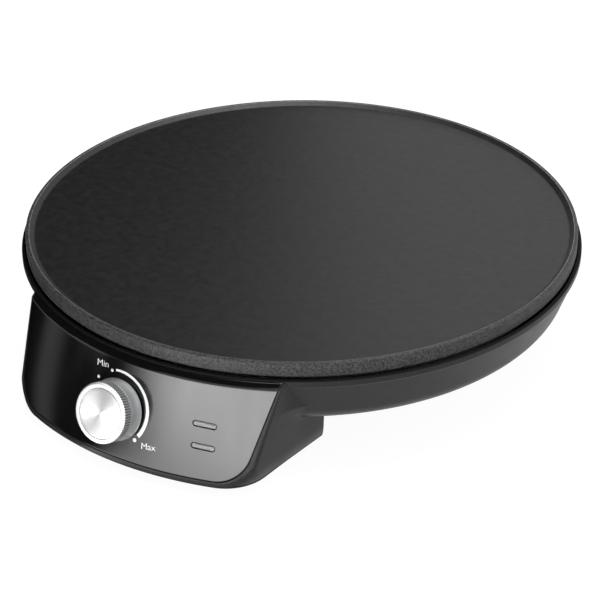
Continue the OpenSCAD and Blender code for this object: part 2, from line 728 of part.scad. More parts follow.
module front_foot_left() { rubber_foot(-front_foot_x, -front_foot_y); }
module front_foot_right() { rubber_foot(front_foot_x, -front_foot_y); }
module rear_foot_left() { rubber_foot(-rear_leg_x, rear_leg_y); }
module rear_foot_right() { rubber_foot(rear_leg_x, rear_leg_y); }

// ---- Griddle and heating -------------------------------------------------------------

module plate_section() {
    flat_r = plate_r - rim_round - rim_crest_w - rim_slope_w;
    side_t = 4;
    polygon(concat([[0, surface_z], [flat_r, surface_z], [flat_r + rim_slope_w, crest_z]],
        arc([plate_r - rim_round, crest_z - rim_round], rim_round, 90, 0, 6),
        [[plate_r, plate_foot_z + 0.4], [plate_r - 0.4, plate_foot_z],
        [plate_r - side_t, plate_foot_z], [plate_r - side_t - 0.8, under_z],
        [skirt_r, under_z], [skirt_r - 0.3, under_z - skirt_h],
        [skirt_r - skirt_t + 0.3, under_z - skirt_h], [skirt_r - skirt_t, under_z],
        [element_ring_r + element_tube_r + channel_wall, under_z],
        [element_ring_r + element_tube_r + channel_wall - 0.4, channel_foot_z],
        [element_ring_r - element_tube_r - channel_wall + 0.4, channel_foot_z],
        [element_ring_r - element_tube_r - channel_wall, under_z], [0, under_z]]));
}

// The round-topped groove, open at the bottom, that takes the element
module element_groove() {
    r = element_tube_r + push_fit;
    rotate_extrude() {
        translate([element_ring_r, element_z]) circle(r = r);
        translate([element_ring_r - r, channel_foot_z - past])
            square([2 * r, element_z - channel_foot_z + past]);
    }
}

module griddle_plate() {
    channel_r = element_ring_r + element_tube_r + channel_wall;
    gap_x = element_end_p[0] + element_tube_r + 3;
    color("#232323") on_axis() difference() {
        union() {
            rotate_extrude($fn = 180) plate_section();
            for (i = [0:rib_count - 1]) rotate([0, 0, 360 * i / rib_count])
                translate([channel_r - 1, -rib_t / 2, under_z - rib_h])
                    cube([skirt_r - skirt_t - channel_r + 2, rib_t, rib_h + 1]);
            screw_posts_at(screw_ring_r) translate([0, 0, boss_top_z + shield_t])
                cylinder(r1 = post_r, r2 = post_r + 0.6, h = under_z - boss_top_z - shield_t + 0.5);
        }
        element_groove();
        translate([-gap_x, -channel_r - past, channel_foot_z - past])
            cube([2 * gap_x, 2 * (element_tube_r + channel_wall) + 6, under_z - channel_foot_z + past]);
        screw_posts_at(screw_ring_r) translate([0, 0, boss_top_z])
            cylinder(r = screw_r + 0.05, h = screw_end_z - boss_top_z + 1.5);
    }
}

module element_ends_at() {
    for (s = [-1, 1]) translate([s * element_end_p[0], element_end_p[1], 0]) children();
}

module heating_element() {
    color("#8d8f90") on_axis() {
        rotate([0, 0, -90 + element_gap_a]) rotate_extrude(angle = 360 - 2 * element_gap_a)
            translate([element_ring_r, element_z]) circle(r = element_tube_r, $fn = 32);
        element_ends_at() translate([0, 0, element_end_z])
            cylinder(r = element_tube_r + 0.4, h = element_end_h + element_tube_r + 0.3, $fn = 32);
    }
}

module element_seals() {
    color("white") on_axis() element_ends_at() translate([0, 0, seal_foot_z]) difference() {
        cylinder(r = seal_r, h = seal_h, $fn = 32);
        translate([0, 0, -past]) cylinder(r = pin_r + push_fit, h = seal_h + 2 * past, $fn = 32);
    }
}

module element_tabs() {
    color("#b9b9b4") on_axis() element_ends_at() {
        translate([0, 0, seal_foot_z - 1]) cylinder(r = pin_r, h = seal_h + 1, $fn = 32);
        translate([-tab_w / 2, -tab_t / 2, tab_foot_z]) cube([tab_w, tab_t, tab_h - 0.2]);
    }
}

module heat_shield() {
    notch_x = element_end_p[0] + seal_r + 4;
    notch_y = element_end_p[1] + seal_r + 6;
    color("#b8bcbf") on_axis() difference() {
        rotate_extrude($fn = 180) polygon([[0, boss_top_z], [shield_r, boss_top_z],
            [shield_r + shield_edge_h * 0.3, boss_top_z + shield_edge_h],
            [shield_r + shield_edge_h * 0.3 - shield_t, boss_top_z + shield_edge_h],
            [shield_r - shield_t, boss_top_z + shield_t], [0, boss_top_z + shield_t]]);
        translate([-notch_x, -shield_r - 5, boss_top_z - past])
            cube([2 * notch_x, shield_r + 5 + notch_y, shield_edge_h + 2 * past]);
        screw_posts_at(screw_ring_r) translate([0, 0, boss_top_z - past])
            cylinder(r = screw_r + 0.4, h = shield_t + 2 * past);
        translate([0, 0, boss_top_z - past]) cylinder(r = 20, h = shield_t + 2 * past);
    }
}

module plate_screws() {
    color("silver") on_axis() screw_posts_at(screw_ring_r) {
        translate([0, 0, seat_z - screw_head_h]) cylinder(r = screw_head_r, h = screw_head_h);
        translate([0, 0, seat_z]) cylinder(r = screw_r, h = screw_end_z - seat_z);
    }
}

module sensor_bulb() {
    color("#b87a4b") on_axis() translate([0, bulb_front_y, bulb_z]) rotate([-90, 0, 0])
        cylinder(r = bulb_r, h = bulb_l);
}

module bulb_strap() { color("#c9ccce") strap(bulb_r, 14, 0, bulb_front_y + 18); }

module capillary_tube() { color("#b87a4b") on_axis() wire(capillary_route, capillary_r); }

module thermal_fuse() {
    color("#d8d3c4") on_axis() translate([fuse_p[0], fuse_p[1], under_z - fuse_r]) rotate([-90, 0, 0])
        cylinder(r = fuse_r, h = fuse_l);
}

module fuse_strap() { color("#c9ccce") strap(fuse_r, 6, fuse_p[0], fuse_p[1] + 3); }

// ---- Thermostat and knob -------------------------------------------------------------

module thermostat_body() {
    color("#d9d4c6") on_knob() difference() {
        union() {
            translate([0, 0, -seat_h - 6]) cylinder(r = thermostat_r, h = 6);
            translate([0, 0, -thermostat_end_h]) cylinder(r = thermostat_r - 1.5, h = thermostat_h - 6);
        }
        translate([0, 0, -spindle_in_h - 0.3]) cylinder(r = spindle_r + spindle_fit, h = 12);
    }
}

module thermostat_bush() {
    color("#c2a45c") on_knob() translate([0, 0, -seat_h]) difference() {
        cylinder(r = bush_r, h = seat_h + bush_out_h);
        translate([0, 0, -past]) cylinder(r = spindle_r + spindle_fit, h = seat_h + bush_out_h + 2 * past);
    }
}

module thermostat_nut() {
    color("#b9b9b4") on_knob() translate([0, 0, -spot_face_h]) difference() {
        cylinder(r = nut_w / sqrt(3), h = nut_h, $fn = 6);
        translate([0, 0, -past]) cylinder(r = bush_r + 0.05, h = nut_h + 2 * past);
    }
}

module thermostat_tabs() {
    color("#b9b9b4") on_knob() for (s = [-1, 1])
        translate([s * thermostat_tab_x - tab_t / 2, -tab_w / 2, -thermostat_end_h - thermostat_tab_l])
            cube([tab_t, tab_w, thermostat_tab_l]);
}

// A round shaft with one flat that starts at height h0
module flatted_shaft(r, h0, h1, flat_h, flat) {
    difference() {
        translate([0, 0, h0]) cylinder(r = r, h = h1 - h0);
        translate([-2 * r, flat, flat_h]) cube([4 * r, 2 * r, h1 - flat_h + past]);
    }
}

module thermostat_spindle() {
    color("#cfcfca") on_knob()
        flatted_shaft(spindle_r, -spindle_in_h, spindle_out_h, bush_out_h + 0.3, spindle_flat);
}

module knob_insert() {
    hub_foot_h = bush_out_h + 0.7;
    plug_r = knob_r - knob_wall - 0.4 - push_fit;
    color("#1b1c1d") on_knob() difference() {
        union() {
            translate([0, 0, hub_foot_h]) cylinder(r = hub_r, h = knob_floor_h - hub_foot_h);
            translate([0, 0, knob_floor_h - insert_h]) cylinder(r = plug_r, h = insert_h);
        }
        flatted_shaft(spindle_r + spindle_fit, 0, spindle_out_h + 0.1, 0, spindle_flat + spindle_fit);
    }
}

module knob() {
    teeth = [for (i = [0:2 * knurl_teeth - 1]) let (
        a = 180 * i / knurl_teeth - 90, r = knob_r + 0.01 - (i % 2) * knurl_depth) r * [cos(a), sin(a)]];
    inner_r = knob_r - knob_wall - 0.4;
    knurl_foot_h = knob_h - knurl_h - knob_bevel;
    color("#b4b7b9") on_knob() difference() {
        intersection() {
            rotate_extrude() polygon(concat([[inner_r, knob_gap]], knob_profile,
                [[knob_cap_r + 0.1, knob_h], [knob_cap_r + 0.1, knob_h - knob_cap_t],
                [0, knob_h - knob_cap_t], [0, knob_floor_h], [inner_r, knob_floor_h]]));
            union() {
                translate([0, 0, knurl_foot_h]) linear_extrude(knurl_h + knob_bevel + past) polygon(teeth);
                cylinder(r = knob_base_r + past, h = knurl_foot_h);
            }
        }
    }
}

module knob_cap() {
    color("#d7d9da") on_knob() rotate_extrude()
        polygon([[0, knob_h - knob_cap_t], [knob_cap_r, knob_h - knob_cap_t],
            [knob_cap_r, knob_h - 0.3], [knob_cap_r - 0.3, knob_h], [0, knob_h]]);
}

// ---- Pilot windows and supply --------------------------------------------------------

module pilot_window(z) {
    color("#c9cdcf") on_axis() {
        window_cut(z, -push_fit, -window_seat_h - flange_h, -0.1);
        window_cut(z, flange_w, -window_seat_h - flange_h, -window_seat_h);
    }
}

module upper_window() { pilot_window(window_top_z); }
module lower_window() { pilot_window(window_low_z); }

module on_windows() { on_panel(window_a, (window_top_z + window_low_z) / 2) children(); }

module lamp_holder() {
    holder_w = 26;
    color("#e4e1d6") on_windows() translate([-holder_w / 2, -9, -holder_h - holder_t])
        cube([holder_w, 18, holder_t]);
}

module neon_lamps() {
    spread = (window_top_z - window_low_z) / 2 / cos(panel_tilt);
    color("#e8a37a") on_windows() for (s = [-1, 1])
        translate([-5, s * spread, -holder_h + lamp_r]) rotate([0, 90, 0])
            cylinder(r = lamp_r, h = 10, $fn = 24);
}

module terminal_block() {
    color("#e9e6dc") on_axis() difference() {
        translate(block_p) cube(block_size);
        for (x = block_poles) translate([x, block_p[1] + 5, block_p[2] + block_size[2] - 6])
            cylinder(r = 2.2, h = 7, $fn = 24);
    }
}

module cord_gland() {
    neck_r = inlet_r + gland_wall;
    flange_r = neck_r + 2.4;
    color("#141516") on_axis() translate([inlet_x, -pod_rear, inlet_z]) rotate([-90, 0, 0])
        rotate_extrude($fn = 48) polygon([[inlet_r, -wall - 2], [flange_r, -wall - 2],
            [flange_r, -wall], [neck_r, -wall], [neck_r, 0], [flange_r, 0], [flange_r, 1.6],
            [flange_r - 0.8, 2.4], [neck_r, 2.4], [neck_r - 0.6, 7], [inlet_r, 7]]);
}

module live_lead() { color("#5b3a1e") on_axis() wire(live_route, lead_r); }
module heater_lead() { color("#1c1c1c") on_axis() wire(heater_route, lead_r); }
module neutral_lead() { color("#2d4f8f") on_axis() wire(neutral_route, lead_r); }

base_shell();
control_panel();
pod_cover();
cover_screws();
front_foot_left();
front_foot_right();
rear_foot_left();
rear_foot_right();
griddle_plate();
heating_element();
element_seals();
element_tabs();
heat_shield();
plate_screws();
sensor_bulb();
bulb_strap();
capillary_tube();
thermal_fuse();
fuse_strap();
thermostat_body();
thermostat_bush();
thermostat_nut();
thermostat_tabs();
upper_window();
lower_window();
lamp_holder();
neon_lamps();
terminal_block();
cord_gland();
live_lead();
heater_lead();
neutral_lead();
thermostat_spindle();
knob_insert();
knob();
knob_cap();
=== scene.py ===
# %% [markdown]
# # An electric crepe maker
#
# A round cast griddle plate sits on a shallow moulded dish. A control pod is moulded to the
# dish's front and carries a glossy panel, a spun metal knob and two pilot windows.
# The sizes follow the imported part. This file adds the surfaces: finer meshes for what shows,
# procedural finishes for every piece, the printed dial, the lights and the camera.

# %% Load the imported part
from collections import Counter
from functools import partial
from math import (atan, atan2, copysign, cos, degrees, hypot, pi, radians, sin, sqrt, tan,
                  tau)

import bmesh
import bpy
from mathutils import Matrix, Vector


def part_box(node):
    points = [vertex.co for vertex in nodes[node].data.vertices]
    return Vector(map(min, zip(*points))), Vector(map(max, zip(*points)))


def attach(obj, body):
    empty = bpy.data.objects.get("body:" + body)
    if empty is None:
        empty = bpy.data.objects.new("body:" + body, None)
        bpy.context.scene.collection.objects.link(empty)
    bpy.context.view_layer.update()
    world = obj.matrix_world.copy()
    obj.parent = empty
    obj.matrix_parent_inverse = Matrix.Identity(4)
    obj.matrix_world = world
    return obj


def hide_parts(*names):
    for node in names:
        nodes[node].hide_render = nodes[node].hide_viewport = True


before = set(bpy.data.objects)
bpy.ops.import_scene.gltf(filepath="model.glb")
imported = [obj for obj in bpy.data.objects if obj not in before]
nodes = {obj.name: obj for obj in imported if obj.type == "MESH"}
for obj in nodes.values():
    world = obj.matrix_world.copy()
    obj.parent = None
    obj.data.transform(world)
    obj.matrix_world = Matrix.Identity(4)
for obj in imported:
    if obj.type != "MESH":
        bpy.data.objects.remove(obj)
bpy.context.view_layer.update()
print("CAD nodes:", len(nodes))

# %% [markdown]
# Most sizes are easiest to think of in millimetres, measured from the plate's own axis, because
# the plate, the dish, the panel and the knob are all placed about it. `place` turns such a point
# into metres in the part's frame. The axis is found from the griddle plate's box.

# %% Measure from the plate's axis
low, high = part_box("griddle_plate")
axis_y = (low.y + high.y) / 2 * 1000


def place(point):
    return Vector((point[0], point[1] + axis_y, point[2])) / 1000


print("plate axis is", round(axis_y, 3), "mm behind the part's middle")

# %% [markdown]
# The camera stands 1.3 m away, to the right of the front and 31 degrees up. Its three directions
# are written as a rotation, which keeps the small roll exact.

# %% Camera
sensor_width, focal_length = 36, 140.2
camera_place = (641.597, -919.960, 673.084)
camera_data = bpy.data.cameras.new("camera")
camera_data.sensor_width, camera_data.lens = sensor_width, focal_length
camera = bpy.data.objects.new("camera", camera_data)
bpy.context.scene.collection.objects.link(camera)
right = Vector((0.82114077, 0.57070790, -0.00450821))
up = Vector((-0.28536585, 0.41740268, 0.86275219))
camera.matrix_world = Matrix.Translation(place(camera_place)) @ Matrix(
    (right, up, right.cross(up))).transposed().to_4x4()
bpy.context.scene.camera = camera
print("camera at", [round(c, 3) for c in camera.matrix_world.translation])

# %% [markdown]
# ## Helpers for meshes
#
# `mesh_piece` makes an object from points and faces. Doubled points are merged and the faces are
# turned outwards. The surface is then shaded smooth, and kept sharp where two faces meet at
# more than a given angle, as a moulded or turned edge does. `loft` closes a solid through a row of
# loops, which is how the bars, boxes, covers and the pod itself are drawn.

# %% A mesh from points and faces
def shade(piece, sharp=32):
    piece.data.shade_smooth()
    piece.data.set_sharp_from_angle(angle=radians(sharp))
    return piece


def link(name, mesh):
    piece = bpy.data.objects.new(name, mesh)
    bpy.context.scene.collection.objects.link(piece)
    return piece


def face_outwards(mesh):
    build = bmesh.new()
    build.from_mesh(mesh)
    bmesh.ops.remove_doubles(build, verts=build.verts, dist=1e-7)
    bmesh.ops.recalc_face_normals(build, faces=build.faces)
    build.to_mesh(mesh)
    build.free()


def mesh_piece(name, points, faces, sharp=32):
    """Points are in millimetres about the plate's axis, and stay so until the piece is dressed."""
    mesh = bpy.data.meshes.new(name)
    mesh.from_pydata([Vector(p) / 1000 for p in points], [], faces)
    face_outwards(mesh)
    return shade(link(name, mesh), sharp)


def loft(name, loops, sharp=32):
    """A closed solid through loops that have the same number of points."""
    n, last = len(loops[0]), len(loops) - 1
    points = [point for loop in loops for point in loop]
    faces = [(i * n + k, i * n + (k + 1) % n, (i + 1) * n + (k + 1) % n, (i + 1) * n + k)
             for i in range(last) for k in range(n)]
    faces += [tuple(reversed(range(n))), tuple(range(last * n, (last + 1) * n))]
    return mesh_piece(name, points, faces, sharp)


# %% [markdown]
# A finished piece gets its place, its material, the CAD body that it rides on and the CAD nodes
# that it stands for, which are hidden, all in one call. Its place goes into the mesh, so that the
# object itself stays at the origin.

# %% Dress a piece
dressed = []


def dress(piece, body, slot, material, *replaced):
    piece.data.transform(Matrix.Translation((0, axis_y / 1000, 0)))
    if material:
        piece.data.materials.clear()
        piece.data.materials.append(material)
    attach(piece, body)
    if replaced:
        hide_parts(*replaced)
    dressed.append(piece)
    print(piece.name, "has", sum(len(f.vertices) - 2 for f in piece.data.polygons), "triangles")


# %% [markdown]
# Holes and joined forms come from booleans. The manifold solver is quick, and it only asks that
# both meshes are closed. The tool is removed afterwards.

# %% Cut and join
def evaluated(piece):
    """A new mesh, as the piece is after its modifiers."""
    graph = bpy.context.evaluated_depsgraph_get()
    return bpy.data.meshes.new_from_object(piece.evaluated_get(graph))


def combine(piece, tool, operation):
    modifier = piece.modifiers.new("combine", "BOOLEAN")
    modifier.operation = operation
    modifier.solver = "MANIFOLD"
    modifier.object = tool
    result = evaluated(piece)
    if not result.polygons:
        raise ValueError(f"{operation} left nothing of {piece.name}")
    piece.modifiers.clear()
    piece.data = result
    bpy.data.objects.remove(tool)
    return piece


def cut(piece, *tools):
    for tool in tools:
        combine(piece, tool, "DIFFERENCE")
    return piece


def join(piece, *others):
    for other in others:
        combine(piece, other, "UNION")
    return piece


def block(low_corner, high_corner):
    """A box between two corners, in millimetres about the plate's axis."""
    (x0, y0, z0), (x1, y1, z1) = low_corner, high_corner
    return loft("block", [[(x0, y0, z), (x1, y0, z), (x1, y1, z), (x0, y1, z)] for z in (z0, z1)])


# %% [markdown]
# Real edges are never quite sharp, and the small round on them catches a line of light.
# `rounded` takes a profile's corners with a radius each and puts an arc in place of each corner.

# %% Rounded profiles
def rounded(corners, steps=4):
    points = []
    for i, (x, z, r) in enumerate(corners):
        here = Vector((x, z))
        before = Vector(corners[i - 1][:2]) - here
        after = Vector(corners[(i + 1) % len(corners)][:2]) - here
        if r == 0 or before.length == 0 or after.length == 0:
            points.append((x, z))
            continue
        half = before.angle(after) / 2
        reach = min(r / tan(half), before.length * 0.48, after.length * 0.48)
        start, end = here + before.normalized() * reach, here + after.normalized() * reach
        inwards = (before.normalized() + after.normalized()).normalized()
        middle = here + inwards * (reach / cos(half))
        a, b = start - middle, end - middle
        turn = a.angle_signed(b)
        for k in range(steps + 1):
            arm = Matrix.Rotation(-turn * k / steps, 2) @ a
            points.append(tuple(middle + arm))
    return points


# %% [markdown]
# ## Spinning a profile with Geometry Nodes
#
# The plate, the dish, the knob, the feet and the screws are all turned shapes. One small tree
# does them all: it sweeps a profile along a circle. The profile's distance from the circle is
# its radius minus the circle's. Points that end up on the axis are merged.

# %% The spinning tree
def new_tree(name, defaults):
    """A tree whose inputs are Geometry, the named sizes with their defaults, and Material."""
    tree = bpy.data.node_groups.new(name, "GeometryNodeTree")
    kinds = {int: "NodeSocketInt", float: "NodeSocketFloat"}
    inputs = {"Geometry": "NodeSocketGeometry"}
    inputs.update((label, kinds[type(value)]) for label, value in defaults.items())
    inputs["Material"] = "NodeSocketMaterial"
    identifiers = {}
    for label, kind in inputs.items():
        socket = tree.interface.new_socket(label, in_out="INPUT", socket_type=kind)
        if label in defaults:
            socket.default_value = defaults[label]
        identifiers[label] = socket.identifier
    tree.interface.new_socket("Geometry", in_out="OUTPUT", socket_type="NodeSocketGeometry")
    return tree, identifiers, add(tree, "NodeGroupInput", name="sizes").outputs


def add(tree, kind, inputs=(), **settings):
    """One node. Inputs are pairs of a socket's number or name and a value, another socket, or a
    node, which stands for its first output."""
    made = tree.nodes.new(kind)
    for key, value in settings.items():
        setattr(made, key, value)
    for key, value in inputs:
        if isinstance(value, bpy.types.Node):
            value = value.outputs[0]
        if isinstance(value, bpy.types.NodeSocket):
            tree.links.new(value, made.inputs[key])
        else:
            made.inputs[key].default_value = value
    return made


def reckon(tree, operation, *values):
    """One step of arithmetic. Gives the socket of its result."""
    return add(tree, "ShaderNodeMath", list(enumerate(values)), operation=operation).outputs[0]


def fading(tree, value, start, end):
    """Goes smoothly from 0 to 1 as the value goes from start to end."""
    return add(tree, "ShaderNodeMapRange", [("Value", value), ("From Min", start),
                                            ("From Max", end)],
               interpolation_type="SMOOTHSTEP").outputs[0]


def finish_tree(tree, geometry):
    realized = add(tree, "GeometryNodeRealizeInstances", [(0, geometry)])
    material = tree.nodes["sizes"].outputs["Material"]
    painted = add(tree, "GeometryNodeSetMaterial", [(0, realized),
                                                    ("Material", material)])
    add(tree, "NodeGroupOutput", [(0, painted)])


spin_tree, spin_sizes, size = new_tree("spin", {"Steps": 180, "Circle radius": 1.0})
section = add(spin_tree, "GeometryNodeMeshToCurve", [(0, size["Geometry"])])
circle = add(spin_tree, "GeometryNodeCurvePrimitiveCircle",
             [("Resolution", size["Steps"]), ("Radius", size["Circle radius"])])
swept = add(spin_tree, "GeometryNodeCurveToMesh",
            [("Curve", circle), ("Profile Curve", section)])
merged = add(spin_tree, "GeometryNodeMergeByDistance", [(0, swept), ("Distance", 1e-7)])
finish_tree(spin_tree, merged.outputs[0])
print("spinning tree:", len(spin_tree.nodes), "nodes")

# %% Spin a profile about an axis
def run_modifier(piece, tree, values):
    """Evaluates a node tree on the piece and leaves its result as a plain mesh."""
    modifier = piece.modifiers.new("nodes", "NODES")
    modifier.node_group = tree
    for identifier, value in values.items():
        modifier[identifier] = value
    result = evaluated(piece)
    piece.modifiers.clear()
    old, piece.data = piece.data, result
    bpy.data.meshes.remove(old)
    return piece


def spin(name, profile, steps=180, frame_matrix=None, closed=False):
    """Spins a profile of (radius, height) in millimetres. A closed one goes round a hole, and any
    other starts and ends on the axis. frame_matrix moves the piece off the axis."""
    ring = 10
    count = len(profile)
    edges = [(i, i + 1) for i in range(count - 1)] + ([(count - 1, 0)] if closed else [])
    mesh = bpy.data.meshes.new(name)
    mesh.from_pydata([((r - ring) / 1000, -z / 1000, 0) for r, z in profile], edges, [])
    piece = link(name, mesh)
    run_modifier(piece, spin_tree, {spin_sizes["Steps"]: steps,
                                    spin_sizes["Circle radius"]: ring / 1000})
    face_outwards(piece.data)
    piece.data.transform(frame_matrix or Matrix.Identity(4))
    return shade(piece)


def moved(x, y, z=0):
    return Matrix.Translation((x / 1000, y / 1000, z / 1000))


# %% [markdown]
# Ribs, posts, bosses, screw holes and air slots stand in rings about the axis. The ring tree puts
# copies of one piece at even angles, with the count, the first angle and the step as its inputs.

# %% The ring tree
ring_tree, ring_sizes, size = new_tree("ring", {"Count": 4, "First angle": 0.0, "Step": 90.0})
number = add(ring_tree, "GeometryNodeInputIndex")
angle_on = reckon(ring_tree, "MULTIPLY", number.outputs[0], size["Step"])
angle = reckon(ring_tree, "ADD", angle_on, size["First angle"])
spun = add(ring_tree, "ShaderNodeCombineXYZ", [("Z", reckon(ring_tree, "RADIANS", angle))])
points = add(ring_tree, "GeometryNodePoints", [("Count", size["Count"])])
copies = add(ring_tree, "GeometryNodeInstanceOnPoints", [
    ("Points", points), ("Instance", size["Geometry"]),
    ("Rotation", spun)])
finish_tree(ring_tree, copies.outputs[0])


def ring_of(piece, count, first, step):
    return run_modifier(piece, ring_tree, {
        ring_sizes["Count"]: count, ring_sizes["First angle"]: float(first),
        ring_sizes["Step"]: float(step)})


# %% [markdown]
# ## Finishes
#
# Every finish is one Principled shader. Colour, roughness and relief come from noise in object
# coordinates, so they have a real size and don't slide. `finish` sets the even values on the
# shader itself, and `speckle`, `relief` and `uneven` add what varies. A colour that is one number
# is a grey.

# %% Helpers for finishes
def rgba(colour):
    return (*(colour if isinstance(colour, (tuple, list)) else (colour,) * 3), 1)


def finish(name, colour, roughness, **even):
    material = bpy.data.materials.new(name)
    material.use_nodes = True
    inputs = material.node_tree.nodes["Principled BSDF"].inputs
    inputs["Base Color"].default_value = rgba(colour)
    inputs["Roughness"].default_value = roughness
    for label, value in even.items():
        inputs[label.replace("_", " ")].default_value = value
    return material


def drive(material, label, value):
    """Links a value to one of the shader's inputs."""
    tree = material.node_tree
    tree.links.new(value, tree.nodes["Principled BSDF"].inputs[label])


def object_noise(material, size, detail, stretch=(1, 1, 1)):
    """Noise whose grains are about size millimetres."""
    tree = material.node_tree
    where = add(tree, "ShaderNodeTexCoord")
    mapping = add(tree, "ShaderNodeMapping", [("Vector", where.outputs["Object"]),
                                              ("Scale", stretch)])
    return add(tree, "ShaderNodeTexNoise", [("Vector", mapping), ("Scale", 1000 / size),
                                            ("Detail", detail)]).outputs["Fac"]


def colour_by(material, value, first, last, low, high):
    """Colour that goes from first to last as the value goes from low to high."""
    ramp = add(material.node_tree, "ShaderNodeValToRGB", [("Fac", value)])
    for stop, at, colour in zip(ramp.color_ramp.elements, (low, high), (first, last)):
        stop.position, stop.color = at, rgba(colour)
    drive(material, "Base Color", ramp.outputs[0])


def speckle(material, size, dark, light, detail=3.0, low=0.35, high=0.65):
    """Colour that wanders between dark and light over grains of a size."""
    colour_by(material, object_noise(material, size, detail), dark, light, low, high)


def uneven(material, size, smooth, rough, detail=3.0, stretch=(1, 1, 1)):
    """Roughness that wanders between two values."""
    noise = object_noise(material, size, detail, stretch)
    drive(material, "Roughness", add(material.node_tree, "ShaderNodeMapRange", [
        ("Value", noise), ("From Min", 0.3), ("From Max", 0.7),
        ("To Min", smooth), ("To Max", rough)]).outputs[0])


def relief(material, size, depth, detail=3.0):
    """Bumps of about size, depth millimetres deep. Later calls lie on top of earlier ones."""
    tree = material.node_tree
    normal = tree.nodes["Principled BSDF"].inputs["Normal"]
    bump = add(tree, "ShaderNodeBump", [("Height", object_noise(material, size, detail)),
                                        ("Distance", depth / 1000)])
    if normal.is_linked:
        tree.links.new(normal.links[0].from_socket, bump.inputs["Normal"])
    tree.links.new(bump.outputs[0], normal)


# %% [markdown]
# The dish is moulded in black ABS from a spark-eroded tool, which leaves a fine even grain and a
# satin sheen. The lip, the pod's foot and the wall behind the panel lie in deep shade, so they get
# a deeper, duller black. The panel is the same plastic from a polished tool. Only broad, very
# shallow waviness and faint wiping marks keep its gloss from looking like glass.

# %% Plastics
housing_black = finish("housing_black", 0.016, 0.42, Specular_IOR_Level=0.2)
speckle(housing_black, 0.9, 0.011, 0.020)
uneven(housing_black, 14, 0.36, 0.44)
relief(housing_black, 0.28, 0.012, detail=2)

panel_gloss = finish("panel_gloss", 0.0035, 0.12, Specular_IOR_Level=0.5)
uneven(panel_gloss, 9, 0.11, 0.17, detail=6, stretch=(1, 1, 0.2))
relief(panel_gloss, 26, 0.02, detail=1)

# Painted shade: a deeper, duller black for the housing's faces that lie in deep shade.
painted_shade_black = finish("painted_shade_black", 0.003, 0.7, Specular_IOR_Level=0.12)
speckle(painted_shade_black, 0.8, 0.002, 0.004)

cover_black = finish("cover_black", (0.012, 0.012, 0.013), 0.5)
speckle(cover_black, 0.7, (0.010, 0.010, 0.011), (0.015, 0.015, 0.016))
relief(cover_black, 0.4, 0.02, detail=2)

insert_black = finish("insert_black", 0.01, 0.45)
speckle(insert_black, 0.6, 0.008, 0.013)
relief(insert_black, 0.3, 0.01)

print("plastics:", housing_black.name, panel_gloss.name, cover_black.name, insert_black.name)

# %% [markdown]
# The griddle plate is cast aluminium with a sprayed non-stick coat. On the flat top the coat is
# matt and nearly even, with a faint mottle. The side is left as blasted, so the coat there is
# coarse and looks greyer. A narrow line on the crest's edge is a painted highlight, coloured
# lighter where the crest catches the light. The underside is bare casting.

# %% The plate's coats and its painted crest highlight
coat_top = finish("coat_top", 0.007, 0.45, Specular_IOR_Level=0.37)
speckle(coat_top, 5, (0.0050, 0.0050, 0.0048), (0.0092, 0.0092, 0.0090), detail=8)
uneven(coat_top, 4, 0.42, 0.47, detail=4)
relief(coat_top, 0.5, 0.03, detail=3)
relief(coat_top, 3.0, 0.04, detail=2)

coat_side = finish("coat_side", 0.05, 0.6, Specular_IOR_Level=0.35)
speckle(coat_side, 1.0, 0.004, (0.062, 0.062, 0.060), detail=6, low=0.36, high=0.7)
relief(coat_side, 0.7, 0.12, detail=4)

# Painted highlight: the crest's narrow edge is coloured lighter where it catches the light.
crest_highlight = finish("crest_highlight", 0.12, 0.4)
speckle(crest_highlight, 1.0, 0.060, (0.190, 0.190, 0.187), detail=6)

bare_cast = finish("bare_cast", 0.30, 0.55, Metallic=0.85)
speckle(bare_cast, 1.6, 0.22, 0.36, detail=6)
relief(bare_cast, 0.8, 0.08, detail=4)

# %% [markdown]
# The knob is aluminium. Its face was spun against a fine abrasive, so the scratches run round the
# middle and the light spreads into bright fans. The shader's anisotropy does that, and it follows
# the piece's own UV map, whose first direction runs round the knob. The grip's colour reads how
# deep the knurl went at each point and darkens its grooves, which is painted shade.

# %% Metals
def spun_metal(name, colour, roughness, ring_size, depth):
    """Needs a UV map named turn: u runs round the axis, v is the distance from it in metres."""
    material = finish(name, colour, roughness, Metallic=0.85, Anisotropic=0.9,
                      Anisotropic_Rotation=0.25)
    tree = material.node_tree
    tangent = add(tree, "ShaderNodeTangent", direction_type="UV_MAP", uv_map="turn")
    drive(material, "Tangent", tangent.outputs[0])
    where = add(tree, "ShaderNodeUVMap", uv_map="turn")
    turn_and_r = add(tree, "ShaderNodeSeparateXYZ", [(0, where)]).outputs
    angle = reckon(tree, "MULTIPLY", turn_and_r["X"], tau)
    near = [reckon(tree, "MULTIPLY", reckon(tree, side, angle), ring_size * 0.004)
            for side in ("COSINE", "SINE")]
    round_it = add(tree, "ShaderNodeCombineXYZ", [("X", near[0]), ("Y", near[1]),
                                                  ("Z", turn_and_r["Y"])])
    rings = add(tree, "ShaderNodeTexNoise", [("Vector", round_it),
                                             ("Scale", 1000 / ring_size), ("Detail", 2)])
    bump = add(tree, "ShaderNodeBump", [("Height", rings.outputs["Fac"]),
                                        ("Distance", depth / 1000)])
    drive(material, "Normal", bump.outputs[0])
    return material


spun_aluminium = spun_metal("spun_aluminium", 0.84, 0.22, 0.12, 0.002)

turned_aluminium = finish("turned_aluminium", 0.72, 0.36, Metallic=0.8)
uneven(turned_aluminium, 0.5, 0.30, 0.42, detail=4)
relief(turned_aluminium, 0.2, 0.006)

grip_aluminium = finish("grip_aluminium", (0.5, 0.51, 0.51), 0.34, Metallic=0.85)
# Painted shade: the grip's colour gets darker the deeper the knurl went, so its grooves look
# shaded.
groove_depth = add(grip_aluminium.node_tree, "ShaderNodeAttribute", attribute_name="groove")
colour_by(grip_aluminium, groove_depth.outputs["Fac"], (0.62, 0.63, 0.64), (0.30, 0.305, 0.31),
          0.1, 0.8)
uneven(grip_aluminium, 0.5, 0.28, 0.40, detail=4)

